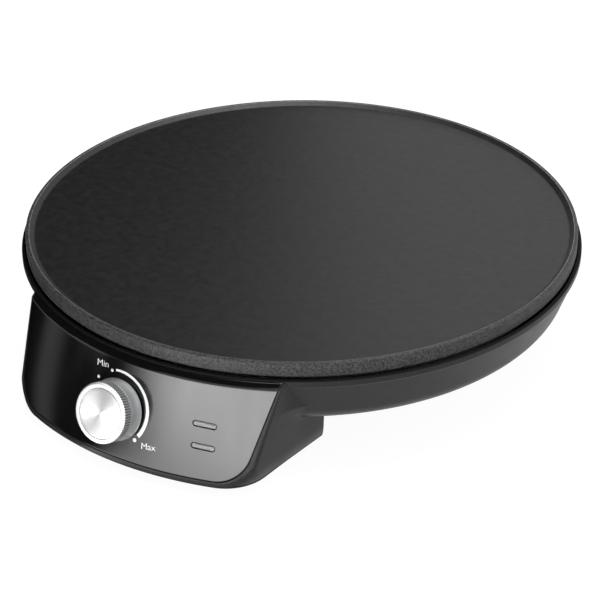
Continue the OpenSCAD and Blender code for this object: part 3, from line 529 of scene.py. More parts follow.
plated_steel = finish("zinc_plate", (0.62, 0.62, 0.60), 0.28, Metallic=1.0)
uneven(plated_steel, 1.2, 0.2, 0.38, detail=4)
relief(plated_steel, 0.5, 0.01)

sheet_steel = finish("galvanised_sheet", (0.58, 0.60, 0.62), 0.34, Metallic=1.0)
speckle(sheet_steel, 9, (0.50, 0.52, 0.54), (0.66, 0.68, 0.70), detail=1, low=0.42, high=0.58)
uneven(sheet_steel, 9, 0.28, 0.42, detail=1)

element_steel = finish("scaled_steel", (0.20, 0.19, 0.18), 0.5, Metallic=0.9)
speckle(element_steel, 5, (0.12, 0.115, 0.11), (0.26, 0.24, 0.225), detail=5)
relief(element_steel, 0.5, 0.02)

copper = finish("drawn_copper", (0.72, 0.38, 0.24), 0.32, Metallic=1.0)
speckle(copper, 6, (0.55, 0.27, 0.17), (0.78, 0.43, 0.29), detail=4)
brass = finish("turned_brass", (0.72, 0.55, 0.27), 0.3, Metallic=1.0)
speckle(brass, 5, (0.62, 0.46, 0.22), (0.78, 0.61, 0.32), detail=4)
print("metals:", spun_aluminium.name, turned_aluminium.name, plated_steel.name, sheet_steel.name)

# %% [markdown]
# The rest are small: rubber feet and gland, white steatite, the two diffusing windows with
# their neon lamps, silicone leads, and the white ink of the dial.

# %% Rubber, ceramic, windows, leads and ink
rubber = finish("rubber", 0.012, 0.7, Specular_IOR_Level=0.35)
speckle(rubber, 0.8, 0.010, 0.017, detail=4)
relief(rubber, 0.5, 0.03)

gland_rubber = finish("gland_rubber", 0.014, 0.55, Specular_IOR_Level=0.4)
speckle(gland_rubber, 0.8, 0.011, 0.019, detail=4)
relief(gland_rubber, 0.4, 0.02)

steatite = finish("steatite", (0.72, 0.70, 0.64), 0.45)
speckle(steatite, 1.5, (0.66, 0.64, 0.58), (0.76, 0.74, 0.69), detail=5)
relief(steatite, 0.5, 0.02)

window_clear = finish("window_clear", 0.2, 0.3, Transmission_Weight=0.15, IOR=1.49)
speckle(window_clear, 0.6, 0.15, 0.27)
relief(window_clear, 0.9, 0.03, detail=1)

neon_glass = finish("neon_glass", (0.85, 0.50, 0.34), 0.12, Transmission_Weight=0.5, IOR=1.5)
speckle(neon_glass, 2.0, (0.80, 0.42, 0.27), (0.90, 0.60, 0.44))

lead_finishes = {}
for core, colour in (("live", (0.17, 0.075, 0.03)), ("heater", (0.015, 0.015, 0.015)),
                     ("neutral", (0.03, 0.09, 0.30))):
    lead_finishes[core] = finish(f"{core}_silicone", colour, 0.5)
    speckle(lead_finishes[core], 3, [c * 0.85 for c in colour], [c * 1.15 for c in colour])
    relief(lead_finishes[core], 0.6, 0.01)

dial_ink = finish("dial_ink", (0.86, 0.86, 0.85), 0.4)
speckle(dial_ink, 0.5, (0.80, 0.80, 0.79), (0.88, 0.88, 0.87), detail=4)
relief(dial_ink, 0.15, 0.004)
print("materials:", len(bpy.data.materials))

# %% [markdown]
# ## Griddle plate
#
# The plate is a turned casting, so its section is drawn once and spun. The top is flat to a
# slope that rises 2 mm to a narrow crest. Under it hang a thin skirt and the channel that grips
# the heating element. Every corner has its own small round, as a casting under a coat does.

# %% The plate's section
surface_z, crest_z, plate_foot_z, under_z = 65.4, 67.4, 59.7, 60.4
plate_r, skirt_r, channel_out, channel_in, channel_z = 150.0, 143.5, 102.5, 87.5, 54.2
element_ring_r, groove_r, groove_z = 95.0, 3.6, 55.7
groove = [(element_ring_r + groove_r * cos(radians(a)),
           groove_z + groove_r * sin(radians(a)), 0) for a in range(0, 181, 12)]
plate_section = rounded([
    (0, surface_z, 0), (145.2, surface_z, 2.0), (148.0, crest_z, 0.7), (plate_r, crest_z, 1.2),
    (plate_r, plate_foot_z, 0.5), (146.0, plate_foot_z, 0.6), (145.2, under_z, 0.3),
    (skirt_r, under_z, 0.3), (143.2, 52.0, 0.7), (141.4, 52.0, 0.7), (141.1, under_z, 1.0),
    (channel_out, under_z, 1.2), (channel_out - 0.4, channel_z, 0.8),
    (element_ring_r + groove_r, channel_z, 0.4), *groove,
    (element_ring_r - groove_r, channel_z, 0.4), (channel_in + 0.4, channel_z, 0.8),
    (channel_in, under_z, 1.2), (0, under_z, 0)])
plate = spin("griddle", plate_section, steps=360)
print("section:", len(plate_section), "points")

# %% [markdown]
# Twelve ribs tie the channel to the skirt, and four posts take the screws. They are made once
# and set round the axis by the ring tree, joined to the casting, and the posts are drilled. A
# casting's ribs taper towards their edge, so that the casting leaves its mould.

# %% Ribs and posts
def taper_bar(name, x0, x1, half_low, half_high, z0, z1):
    return loft(name, [[(x0, -half, z), (x1, -half, z), (x1, half, z), (x0, half, z)]
                       for half, z in ((half_low, z0), (half_high, z1))])


rib_count = 12
rib = taper_bar("rib", 101.5, 142.0, 1.2, 1.6, under_z - 5, under_z + 1)
join(plate, ring_of(rib, rib_count, 0, 360 / rib_count))
screw_ring_r, post_foot_z = 118.0, 40.8
screw_spot = moved(screw_ring_r, 0)
screw_pairs = (30, 150)  # each is the first angle of two screws that face each other
for first in screw_pairs:
    post = spin("post", rounded([
        (0, post_foot_z, 0), (5, post_foot_z, 0.4), (5.6, under_z - 1.5, 0.6),
        (7.0, under_z + 0.5, 0), (0, under_z + 0.5, 0)]), 40, screw_spot)
    join(plate, ring_of(post, 2, first, 180))
    drill = spin("drill", [(0, 39), (2.05, 39), (2.05, 54.3), (0, 55.5)], 32, screw_spot)
    cut(plate, ring_of(drill, 2, first, 180))
cut(plate, block((-26.25, -103.5, channel_z - 1), (26.25, -82.5, under_z)))
shade(plate, 32)

# %% [markdown]
# The coat has two looks, on the top and on the side. A painted highlight runs along the crest's
# edge, and the bare casting has a fourth look, so the plate has four material slots. A face's
# place and direction say which one it gets.

# %% Coat the plate
def slots_by_place(piece, materials, choose):
    """choose(middle in millimetres, normal) gives a face's slot."""
    piece.data.materials.clear()
    for material in materials:
        piece.data.materials.append(material)
    for face in piece.data.polygons:
        face.material_index = choose(face.center * 1000, face.normal)


plate_materials = (coat_top, coat_side, bare_cast, crest_highlight)


def plate_material_of(middle, normal):
    r = middle.xy.length
    if middle.z < plate_foot_z + 0.1 or r < 145 and middle.z < surface_z - 0.5:
        coat = bare_cast
    # Upward faces on the crest's narrow edge get the painted highlight.
    elif 147.5 < r < 148.5 and normal.z > 0.5:
        coat = crest_highlight
    else:
        coat = coat_top if r < 147.6 else coat_side
    return plate_materials.index(coat)


slots_by_place(plate, plate_materials, plate_material_of)
dress(plate, "base", "plate", None, "griddle_plate")

# %% [markdown]
# ## The form of the pod
#
# The pod's front is a cone about the plate's axis, wider at its foot. Its sides are nearly
# straight, its front corners are round, and each side runs into the dish with a soft blend that
# grows towards the lip. All of that is one rule: the form's radius in a direction at a height.
# The housing and the panel both use it, so they fit each other everywhere.

# %% Sizes of the dish and the pod
lip_z, lip_r, wall_top_r, wall_top_z = 58.7, 152.4, 151.5, 54.2
floor_z, dish_draft, dish_round, wall = 27.0, radians(20), 15.5, 2.4
round_z = floor_z + dish_round
round_end_z = round_z - dish_round * sin(dish_draft)
round_r = (wall_top_r - (wall_top_z - round_end_z) * tan(dish_draft)
           - dish_round * cos(dish_draft))
top_z, top_r, foot_z, foot_r = 55.7, 155.2, 8.0, 171.4
top_w, foot_w, rim_top_w, rim_foot_w = 79.1, 71.0, 1.2, 4.2
front_tuck, side_tuck, side_tuck_z = 3.4, 5.0, 15.0
tilt = atan((foot_r - top_r) / (top_z - foot_z))
panel_t, pod_z, pod_rear, rear_bevel, knob_z = 2.0, 5.0, 91.0, 4.2, 31.3
ledge_z, ledge_r = lip_z - 1.0, lip_r + 0.4
ledge_run = (top_r - ledge_r) / (ledge_z - top_z)
ledge_stretch = sqrt(1 + 1 / ledge_run ** 2)
print("the panel leans back", round(degrees(tilt), 2), "degrees")


# %% The rule of the form
def mix(a, b, t):
    return a + (b - a) * t


def rise(z):
    return (z - foot_z) / (top_z - foot_z)


def tucked(z, start_z):
    """How far the rounding under the pod has gone at height z, from 0 to 1."""
    t = max(0, min(1, (start_z - z) / (start_z - 3)))
    return 1 - sqrt(1 - t * t)


def front_r(z):
    return mix(foot_r, top_r, rise(z)) - front_tuck * tucked(z, foot_z)


def dish_r(z):
    if z < floor_z:
        return 0
    if z < round_end_z:
        return round_r + sqrt(dish_round ** 2 - (round_z - z) ** 2)
    return wall_top_r - (wall_top_z - min(z, wall_top_z)) * tan(dish_draft)


def side_line(z):
    """The side's distance from the middle, in line with the axis, and its flare."""
    near = foot_w + rim_foot_w + 0.06 * sqrt(foot_r ** 2 - foot_w ** 2)
    far = top_w + rim_top_w + 0.1 * sqrt(top_r ** 2 - top_w ** 2)
    return mix(near, far, rise(z)) - side_tuck * tucked(z, side_tuck_z), mix(0.06, 0.1, rise(z))


def corner(z):
    """The corner round's middle and radius, and the angles where it starts and ends."""
    low = max(0, 1 - max(0, z - pod_z) / 12)
    r = max(1.5, mix(4, 1.5, max(0, rise(z))) + 20 * low ** 1.3)
    x0, s = side_line(z)
    q, k, reach = x0 - r * sqrt(1 + s * s), 1 + s * s, front_r(z) - r
    y = (-q * s - sqrt((q * s) ** 2 - k * (q * q - reach * reach))) / k
    c, n = (q + s * y, y), r / sqrt(k)
    return c, r, atan2(c[0], -c[1]), atan2(c[0] + n, -(c[1] - n * s))


def pod_r(a, z):
    c, r, start, end = corner(z)
    if a <= start:
        return front_r(z)
    u = (sin(a), -cos(a))
    if a < end:
        across = c[0] * u[1] - c[1] * u[0]
        return c[0] * u[0] + c[1] * u[1] + sqrt(max(0, r * r - across * across))
    x0, s = side_line(z)
    return x0 / (sin(a) + s * cos(a))


def body_r(a, z):
    """Radius of the pod's form at angle a from the front, blended into the dish."""
    a = abs(a)
    r = pod_r(a, z)
    if z < floor_z + 0.5:
        return r
    k = min(14 * min(1, max(0.1, (z - floor_z - 3) / 12)), max(0.1, front_r(z) - dish_r(z) - 2))
    other = dish_r(z) - 0.4
    h = max(k - abs(other - r), 0) / k
    return max(other, r) + h * h * k / 4


def ledge_at(z, inset):
    return ledge_r + (ledge_z - inset * ledge_stretch - z) * ledge_run


def form_r(a, z, inset=0):
    """The whole form, shrunk by inset: the pod under the sloping ledge."""
    return min(body_r(a, z) - inset, ledge_at(z, inset))


def on_form(a, z, inset=0):
    r = form_r(a, z, inset)
    return r * sin(a), -r * cos(a), z


print("front radius at the knob:", round(form_r(0, knob_z), 3), "mm")

# %% [markdown]
# ## Housing
#
# The housing is one moulding, and it is built as a mould maker thinks of it: the outside forms
# are joined, the inside forms are taken out, and bosses, holes and slots follow. The pod's form
# is a closed skin of rings, one for each height, with many more columns than the CAD solid, so the
# curves are smooth in the light. Its two rear corners are cut off by a wedge. The hollow is cut by
# the same wedge, a wall's thickness further in, so that no hole opens there.

# %% The pod as a skin of rings
def pod_skin(name, inset, z0, heights):
    columns = (40, 16, 26)
    ledge_top = ledge_z - inset * ledge_stretch
    front_run = (foot_r - top_r) / (top_z - foot_z)
    ledge_foot = top_z - (inset * ledge_stretch * ledge_run - inset) / (ledge_run - front_run)
    levels = [z0] + [z for z in heights + [ledge_foot] if z0 < z < ledge_top - 0.3] + [ledge_top]
    loops = []
    for z in levels:
        _, _, start, end = corner(z)
        half = [start * i / columns[0] for i in range(columns[0])]
        half += [mix(start, end, i / columns[1]) for i in range(columns[1])]
        half += [mix(end, radians(60), i / columns[2]) for i in range(columns[2] + 1)]
        row = [-a for a in half[:0:-1]] + half
        loops.append([(0, 0, z)] + [on_form(a, z, inset) for a in row])
    return loft(name, loops)


fine_levels = ([5.6 + 0.6 * i for i in range(20)] + [18 + 1.5 * i for i in range(6)]
               + [26.6, 27.3, 27.6, 28.2]
               + [29 + 0.8 * i for i in range(33)] + [55.3])


def pod(name, inset, rear_inset, z0, heights, bevelled=True):
    """The pod's form between its front, shrunk by inset, and its rear wall."""
    skin = pod_skin(name, inset, z0, heights)
    front_half = block((-200, -400, z0 - 5), (200, -pod_rear - rear_inset, 80))
    kept = combine(skin, front_half, "INTERSECT")
    x0, s = side_line(floor_z)
    reach = rear_bevel + rear_inset
    for side in (-1, 1) if bevelled else ():
        wedge = block((-reach, -40, z0 - 5), (40, 40, 80))
        wedge.data.transform(moved(side * (x0 - s * pod_rear), -pod_rear)
                             @ Matrix.Rotation(radians(90 - 45 * side), 4, "Z"))
        cut(kept, wedge)
    return kept


# %% [markdown]
# The dish is turned: a flat bottom, one generous round, a drafted wall, and a plain band with
# the lip on top. The step under the band has a small round, which draws a soft line of light
# right round the dish.

# %% The outside and the inside
def arc(x, z, r, first, last, steps):
    return [(x + r * cos(radians(mix(first, last, i / steps))),
             z + r * sin(radians(mix(first, last, i / steps))), 0)
            for i in range(steps + 1)]


draft = degrees(dish_draft)
outside = [(0, floor_z, 0)] + arc(round_r, round_z, dish_round, -90, -draft, 20) + [
    (wall_top_r, wall_top_z, 0.5), (lip_r, wall_top_z + 0.9, 0.7), (lip_r, lip_z, 0.6),
    (lip_r - 5, lip_z, 0), (0, lip_z, 0)]
slant = wall / cos(dish_draft)
lead_out = (lip_z + 1 - wall_top_z) * tan(dish_draft)
inside = [(0, floor_z + wall, 0)] + arc(round_r, round_z, dish_round - wall, -90, -draft, 14) + [
    (wall_top_r - slant + lead_out, lip_z + 1, 0), (0, lip_z + 1, 0)]

shell = spin("housing", rounded(outside), steps=300)
hollow = spin("hollow", rounded(inside), steps=180)
rear_leg_x, rear_leg_y = 78, 72
leg = [(0, 3, 0), (11, 3, 0.6), (12.55, 25.2, 2.4), (16, floor_z + 0.6, 0), (0, floor_z + 0.6, 0)]
leg_hollow = [(0, 5), (8.74, 5), (10.5, 30.4), (0, 30.4)]
for side in (-1, 1):
    leg_spot = moved(side * rear_leg_x, rear_leg_y)
    join(shell, spin("leg", rounded(leg), 72, leg_spot))
    join(hollow, spin("leg_hollow", leg_hollow, 48, leg_spot))
join(shell, pod("pod", 0, 0, pod_z, fine_levels))
join(hollow, pod("pod_hollow", panel_t + wall, wall, pod_z - 1, fine_levels[::2]))
print("outside and inside:", len(shell.data.polygons), len(hollow.data.polygons))

# %% [markdown]
# Bosses are what the hollow leaves standing: four for the plate's screws, one flat seat for the
# thermostat, two for the lamp holder, and four posts with webs for the cover. They are cut out
# of the hollow before the hollow is cut out of the shell.

# %% Bosses
def panel_frame(a, z):
    """A frame on the panel: x to the right, y up the slope, z outwards."""
    return (Matrix.Rotation(a, 4, "Z") @ Matrix.Translation((0, -front_r(z) / 1000, z / 1000))
            @ Matrix.Rotation(pi / 2 - tilt, 4, "X"))


def pin(r, z0, z1, frame_matrix=None, steps=40):
    return spin("pin", [(0, z0), (r, z0), (r, z1), (0, z1)], steps, frame_matrix)


knob_frame = panel_frame(0, knob_z)
boss_top_z, seat_h = 40.0, (panel_t + wall) * cos(tilt) + 1
cover_posts = ((-62, -100), (62, -100), (-30, -158), (30, -158))
post_top_z = pod_z + 8
window_a, window_z = radians(17.5), (35.0, 24.2)
for first in screw_pairs:
    boss = pin(6, floor_z, boss_top_z, screw_spot)
    cut(hollow, ring_of(boss, 2, first, 180))
cut(hollow, pin(10.8, -seat_h, 0, knob_frame))
lamp_frame = panel_frame(window_a, sum(window_z) / 2)
for side in (-1, 1):
    cut(hollow, pin(2.2, -10.2, -seat_h + 1.5, lamp_frame @ moved(10 * side, 0), steps=24))
for x, y in cover_posts:
    cut(hollow, pin(3.6, pod_z, post_top_z, moved(x, y), steps=24))
    if abs(x) > 50:
        web_end = x + copysign(14, x)
        cut(hollow, block((min(x, web_end), y - 1, pod_z), (max(x, web_end), y + 1, post_top_z)))
    else:
        cut(hollow, block((x - 1, y - 14, pod_z), (x + 1, y, post_top_z)))
cut(shell, hollow)
print("shell after its hollow:", len(shell.data.polygons), "faces")

# %% [markdown]
# Then come the holes. The panel lies in a pocket whose outline is a little larger than the panel,
# and the thin seam between them shows as a dark line. The window openings are turned a little
# against the slope, as the windows sit on the real panel. The air slots are one round-ended bar,
# set round the dish's bottom by the ring tree.

# %% Pocket, holes and air slots
outline_round = 15


def outline_w(z, grow=0.0):
    """Half width of the panel's outline at height z."""
    w0, w1, r = foot_w + grow, top_w + grow, outline_round
    lean = atan((w1 - w0) / (top_z - foot_z))
    cx, cz = w0 - r * (1 - sin(lean)) / cos(lean), foot_z - grow + r
    if z < cz - r * sin(lean):
        return cx + sqrt(max(0, r * r - (z - cz) ** 2))
    return w0 + (z - foot_z) * tan(lean)


def foot_heights(low_z, angles):
    """Heights that lie close together where the outline's lower corners turn fastest."""
    return [low_z + outline_round * (1 - cos(radians(a))) for a in angles]


def outline_prism(grow, over_z):
    zs = foot_heights(foot_z - grow, range(0, 91, 5)) + [over_z]
    half = [(outline_w(z, grow), z) for z in zs]
    loop = half + [(-x, z) for x, z in reversed(half)]
    return loft("outline", [[(x, y, z) for x, z in loop]
                            for y in (-pod_rear - 110, -pod_rear - 20)])


def round_bar(name, size, steps, frame_matrix, sharp=32):
    """A bar with round ends. Each step is how much its outline grows, and the height there."""
    loops = []
    for grow, z in steps:
        length, width = size[0] + 2 * grow, size[1] + 2 * grow
        loops.append([(side * ((length - width) / 2 + width / 2 * cos(radians(a))),
                       side * width / 2 * sin(radians(a)), z)
                      for side in (1, -1) for a in range(-90, 91, 10)])
    piece = loft(name, loops, sharp)
    piece.data.transform(frame_matrix)
    return piece


spindle_hole_r, plate_screw_hole_r, plate_screw_well_r, foot_hole_r = 4.9, 2.25, 4.3, 2.1
gland_x, gland_z = 40, 13
gland_seat = moved(gland_x, -pod_rear, gland_z)
opening, window_turn = (13.1, 3.4), radians(-2.5)


def window_frame(z):
    return panel_frame(window_a, z) @ Matrix.Rotation(window_turn, 4, "Z")


def cut_openings(piece):
    for z in window_z:
        cut(piece, round_bar("opening", opening, ((0, -12), (0, 3)), window_frame(z)))


pocket = outline_prism(0.15, ledge_z + 0.15)
cut(pocket, pod("panel_back", panel_t, 0, pod_z - 2, fine_levels, bevelled=False),
    pin(lip_r - 0.3, 0, lip_z, steps=300))
cut(shell, pocket)
cut(shell, pin(spindle_hole_r, -seat_h - 1, 3, knob_frame))
cut_openings(shell)
for first in screw_pairs:
    for r, z0, z1 in ((plate_screw_hole_r, 30, boss_top_z + 1),
                      (plate_screw_well_r, 20, boss_top_z - 7)):
        cut(shell, ring_of(pin(r, z0, z1, screw_spot), 2, first, 180))
for ring_r in (52, 76):
    slot = round_bar("slot", (15, 3), ((0, floor_z - 1), (0, floor_z + wall + 1)),
                     moved(ring_r, 0))
    cut(shell, ring_of(slot, 9, 30, 15))
for side in (-1, 1):
    cut(shell, pin(foot_hole_r, 0, 6, moved(side * rear_leg_x, rear_leg_y), steps=32))
for x, y in cover_posts:
    cut(shell, pin(1.55, pod_z - 1, pod_z + 7, moved(x, y), steps=24))
notch_r = 5.5 / cos(pi / 12)
notch = pin(notch_r, -1, 3.4, gland_seat @ Matrix.Rotation(pi / 2, 4, "X"), steps=12)
cut(shell, notch, block((gland_x - notch_r, -pod_rear - 3.4, pod_z - 1),
                        (gland_x + notch_r, -pod_rear + 1, gland_z)))
shade(shell, 30)


# The lip's top, the pod's foot and the wall behind the panel get the painted-shade black.
def housing_black_or_shade(middle, normal):
    lip_top = middle.z > lip_z - 1.5 and normal.z > 0.15
    pod_foot = middle.z < pod_z + 2 and normal.z < -0.35
    behind_panel = middle.z > wall_top_z and abs(middle.x) < 77 and middle.y < -100
    return int(lip_top or pod_foot or behind_panel)


slots_by_place(shell, (housing_black, painted_shade_black), housing_black_or_shade)
dress(shell, "base", "housing", None, "base_shell")

# %% [markdown]
# ## Control panel
#
# The panel is the one glossy piece, so its surface decides what the reflections look like. It is
# a grid of level rows, laid exactly on the form, with its columns at even widths. The rows lie
# closer together at the lower corners and at the crease where the top ledge begins. The outline
# is rounded over 0.6 mm, and the back is the same grid, 2 mm further in.

# %% Lay the panel's grid
crease = 0.9


def panel_form(a, z, inset=0.0):
    """The form with a small round on the crease where the top ledge begins."""
    side, ledge = body_r(a, z) - inset, ledge_at(z, inset)
    h = max(crease - abs(ledge - side), 0) / crease
    return min(side, ledge) - h * h * crease / 4


def angles_at(z, inset, widths):
    """The angles whose points on the form lie at these distances from the middle."""
    fine = [radians(42) * i / 260 for i in range(261)]
    across = [panel_form(a, z, inset) * sin(a) for a in fine]
    found, k = [], 0
    for x in widths:
        while k < 259 and across[k + 1] < x:
            k += 1
        found.append(mix(fine[k], fine[k + 1], (x - across[k]) / (across[k + 1] - across[k])))
    return found


def panel_row(z, w, inset, columns):
    widths = [w * i / columns for i in range(columns + 1)]
    half = angles_at(z, inset, widths)
    row = [-a for a in half[:0:-1]] + half
    return [(panel_form(a, z, inset) * sin(a), -panel_form(a, z, inset) * cos(a), z)
            for a in row]


edge_r, panel_columns, panel_top = 0.6, 90, ledge_z
row_heights = foot_heights(foot_z, range(0, 80, 4)) + [22 + 1.4 * i for i in range(24)]
row_heights += [55.0, 55.3, 55.5, 55.7, 55.9, 56.1, 56.5, 57.0]


def panel_sheet(shrink, inset):
    """Rows of the panel, shrunk inwards from its outline and set back from its form."""
    rows = []
    for z in row_heights + [panel_top]:
        share = (z - foot_z) / (panel_top - foot_z)
        at = mix(foot_z + shrink, panel_top - shrink * 0.35, share)
        rows.append(panel_row(at, outline_w(at, -shrink), inset, panel_columns))
    return rows


def rim_loop(rows):
    return (list(rows[0]) + [row[-1] for row in rows[1:-1]] + list(reversed(rows[-1]))
            + [row[0] for row in reversed(rows[1:-1])])


def sheet_faces(rows, first, flip):
    wide = len(rows[0])
    faces = []
    for i in range(len(rows) - 1):
        for k in range(wide - 1):
            a = first + i * wide + k
            quad = (a, a + 1, a + wide + 1, a + wide)
            faces.append(quad[::-1] if flip else quad)
    return faces


front_rows = panel_sheet(edge_r, 0)
back_rows = panel_sheet(0.0, panel_t)
points = [p for rows in (front_rows, back_rows) for row in rows for p in row]
faces = sheet_faces(front_rows, 0, False)
faces += sheet_faces(back_rows, len(points) // 2, True)
loops = [rim_loop(front_rows)]
for turn in range(15, 91, 15):
    f = radians(turn)
    loops.append(rim_loop(panel_sheet(edge_r * (1 - sin(f)), edge_r * (1 - cos(f)))))
loops.append(rim_loop(back_rows))
for before, after in zip(loops, loops[1:]):
    first, n = len(points), len(before)
    points += before + after
    faces += [(first + i, first + n + i, first + n + (i + 1) % n, first + (i + 1) % n)
              for i in range(n)]
panel = mesh_piece("panel", points, faces)
cut(panel, pin(lip_r - 0.15, 40, lip_z, steps=300))
nut_seat_r, nut_seat_depth = 9.5, 0.6
cut(panel, pin(spindle_hole_r, -seat_h, 3, knob_frame, steps=64),
    pin(nut_seat_r, -nut_seat_depth, 3, knob_frame, steps=96))
cut_openings(panel)
print("panel grid:", len(front_rows), "rows by", len(front_rows[0]), "columns")

# %% [markdown]
# The holes leave long thin faces on the panel, and averaged normals would show them as streaks in
# the gloss. So the front's normals are taken from the form itself, point by point. The rounded
# outline keeps its own.

# %% Normals from the form
def form_normal(a, z):
    def at(angle, height):
        r = panel_form(angle, height)
        return Vector((r * sin(angle), -r * cos(angle), height))
    step = 0.05
    d = step / front_r(z)
    along = at(a + d, z) - at(a - d, z)
    upwards = at(a, z + step) - at(a, z - step)
    return along.cross(upwards).normalized()


def normals_from_form(piece):
    mesh = piece.data
    rule = {}
    for vertex in mesh.vertices:
        x, y, z = vertex.co * 1000
        a = atan2(x, -y)
        on_front = abs(hypot(x, y) - panel_form(a, z)) < 0.004
        inside_outline = abs(x) < outline_w(z, -edge_r) + 0.01 and foot_z + edge_r - 0.01 < z
        if on_front and inside_outline and z < panel_top - 0.2:
            rule[vertex.index] = form_normal(a, z)
    shade(piece, 40)
    normals = []
    for face in mesh.polygons:
        for corner_index in face.loop_indices:
            n = rule.get(mesh.loops[corner_index].vertex_index)
            normals.append(n if n is not None and n.dot(face.normal) > 0.8 else Vector((0, 0, 0)))
    mesh.normals_split_custom_set(normals)
    from_form = sum(n.length > 0 for n in normals)
    print("panel corners with the form's normal:", from_form, "of", len(normals))


normals_from_form(panel)
dress(panel, "base", "panel", panel_gloss, "control_panel")

# %% [markdown]
# ## Printed dial
#
# The dial is pad-printed on the panel: two words, three dots and an arc that widens towards the
# hot end. Each mark is drawn flat about the knob, in millimetres, and then laid on the cone. Ink
# has a little thickness, 0.03 mm here.

# %% Lay flat marks on the panel
ink = 0.03


def on_panel(across, upwards, lift):
    """A flat point: across along the arc, upwards along the slope, both from the knob's middle."""
    z = knob_z + upwards * cos(tilt)
    a = across / front_r(z)
    r = panel_form(a, z) + lift * cos(tilt)
    return r * sin(a), -r * cos(a), z + lift * sin(tilt)


def mark(name, flat_points, faces):
    """A flat drawing becomes a thin closed film of ink on the panel."""
    n = len(flat_points)
    points = [on_panel(x, y, lift) for lift in (0.0, ink) for x, y in flat_points]
    edges = [edge for face in faces for edge in zip(face, face[1:] + face[:1])]
    uses = Counter(frozenset(edge) for edge in edges)
    film = [tuple(reversed(face)) for face in faces]
    film += [tuple(i + n for i in face) for face in faces]
    film += [(a, b, b + n, a + n) for a, b in edges if uses[frozenset((a, b))] == 1]
    return mesh_piece(name, points, film)


def dot_mark(name, x, y, r):
    ring = [(x + r * cos(radians(a)), y + r * sin(radians(a)))
            for a in range(0, 360, 10)]
    return mark(name, ring, [tuple(range(36))])


def word_mark(name, word, middle, width, height, turn):
    """A word fitted into a flat box about its middle, and turned."""
    curve = bpy.data.curves.new(name, "FONT")
    curve.body = word
    curve.resolution_u = 6
    curve.offset = -0.008
    letters = bpy.data.objects.new(name, curve)
    bpy.context.scene.collection.objects.link(letters)
    flat = evaluated(letters)
    bpy.data.objects.remove(letters)
    build = bmesh.new()
    build.from_mesh(flat)
    bmesh.ops.remove_doubles(build, verts=build.verts, dist=1e-5)
    build.verts.ensure_lookup_table()
    xs, ys = [v.co.x for v in build.verts], [v.co.y for v in build.verts]
    c, s = cos(radians(turn)), sin(radians(turn))
    flat_points = []
    for v in build.verts:
        x = ((v.co.x - min(xs)) / (max(xs) - min(xs)) - 0.5) * width
        y = (v.co.y / max(ys) - 0.5) * height
        flat_points.append((middle[0] + x * c - y * s, middle[1] + x * s + y * c))
    faces = [tuple(v.index for v in face.verts) for face in build.faces]
    build.free()
    bpy.data.meshes.remove(flat)
    return mark(name, flat_points, faces)


word_height, word_turn, arc_middle, arc_r = 3.2, 7, (-0.8, 0.6), 19.1
marks = [word_mark("word_min", "Min", (-13.35, 20.0), 7.4, word_height, word_turn),
         word_mark("word_max", "Max", (21.9, -13.8), 8.0, word_height, word_turn),
         dot_mark("dot_off", -14.8, 12.4, 0.85), dot_mark("dot_min", -6.8, 18.4, 0.85),
         dot_mark("dot_max", 13.5, -12.5, 1.0)]
band, steps = [], 72
for i in range(steps + 1):
    share = i / steps
    angle, half = radians(mix(-11, 124, share)), mix(0.6, 1.0, share)
    band += [(arc_middle[0] + r * sin(angle), arc_middle[1] + r * cos(angle))
             for r in (arc_r - half, arc_r + half)]
marks.append(mark("heat_arc", band, [(2 * i, 2 * i + 1, 2 * i + 3, 2 * i + 2)
                                     for i in range(steps)]))
for printed in marks:
    dress(printed, "base", "panel", dial_ink)

# %% [markdown]
# ## Knob
#
# The knob is a turned sleeve with a knurled grip, and its face is a disc with a spun finish. The
# sleeve is spun first. Then a rule cuts the knurl: every point of the grip moves towards the
# knob's axis by a depth that follows the angle, and fades out at both ends of the grip. The tree
# also stores that depth on the points, for the painted shade in the grip's grooves.

# %% The knurling tree
knurl_tree, knurl_sizes, size = new_tree("knurl", {
    "Teeth": 72.0, "Depth": 0.00045, "Grip start": 0.0079, "Grip end": 0.0150, "Fade": 0.0004,
    "Outside": 0.0150})
spot = add(knurl_tree, "GeometryNodeInputPosition")
parts_of = add(knurl_tree, "ShaderNodeSeparateXYZ", [(0, spot)])
value_of = partial(reckon, knurl_tree)
side_x, side_y, height = (parts_of.outputs[axis] for axis in "XYZ")
turned_by = value_of("ARCTAN2", side_y, side_x)
wave = value_of("SINE", value_of("MULTIPLY", turned_by, size["Teeth"]))
groove_share = value_of("SUBTRACT", 0.5, value_of("MULTIPLY", wave, 0.5))
groove_share = value_of("POWER", groove_share, 0.7)
begin = fading(knurl_tree, height, size["Grip start"],
               value_of("ADD", size["Grip start"], size["Fade"]))
stop = fading(knurl_tree, height, size["Grip end"],
              value_of("SUBTRACT", size["Grip end"], size["Fade"]))
distance = value_of("SQRT", value_of("ADD", value_of("MULTIPLY", side_x, side_x),
                                     value_of("MULTIPLY", side_y, side_y)))
far_out = value_of("GREATER_THAN", distance, size["Outside"])
amount = value_of("MULTIPLY", value_of("MULTIPLY", begin, stop),
                  value_of("MULTIPLY", groove_share, far_out))
flat_spot = add(knurl_tree, "ShaderNodeVectorMath", [(0, spot), (1, (1, 1, 0))],
                operation="MULTIPLY")
outwards = add(knurl_tree, "ShaderNodeVectorMath", [(0, flat_spot)],
               operation="NORMALIZE")
inwards_by = value_of("MULTIPLY", value_of("MULTIPLY", amount, size["Depth"]), -1.0)
shift = add(knurl_tree, "ShaderNodeVectorMath", [(0, outwards), ("Scale", inwards_by)],
            operation="SCALE")
pressed = add(knurl_tree, "GeometryNodeSetPosition", [(0, size["Geometry"]),
                                                      ("Offset", shift)])
kept = add(knurl_tree, "GeometryNodeStoreNamedAttribute", [
    ("Geometry", pressed), ("Name", "groove"), ("Value", amount)],
    data_type="FLOAT", domain="POINT")
finish_tree(knurl_tree, kept.outputs[0])
print("knurling tree:", len(knurl_tree.nodes), "nodes")

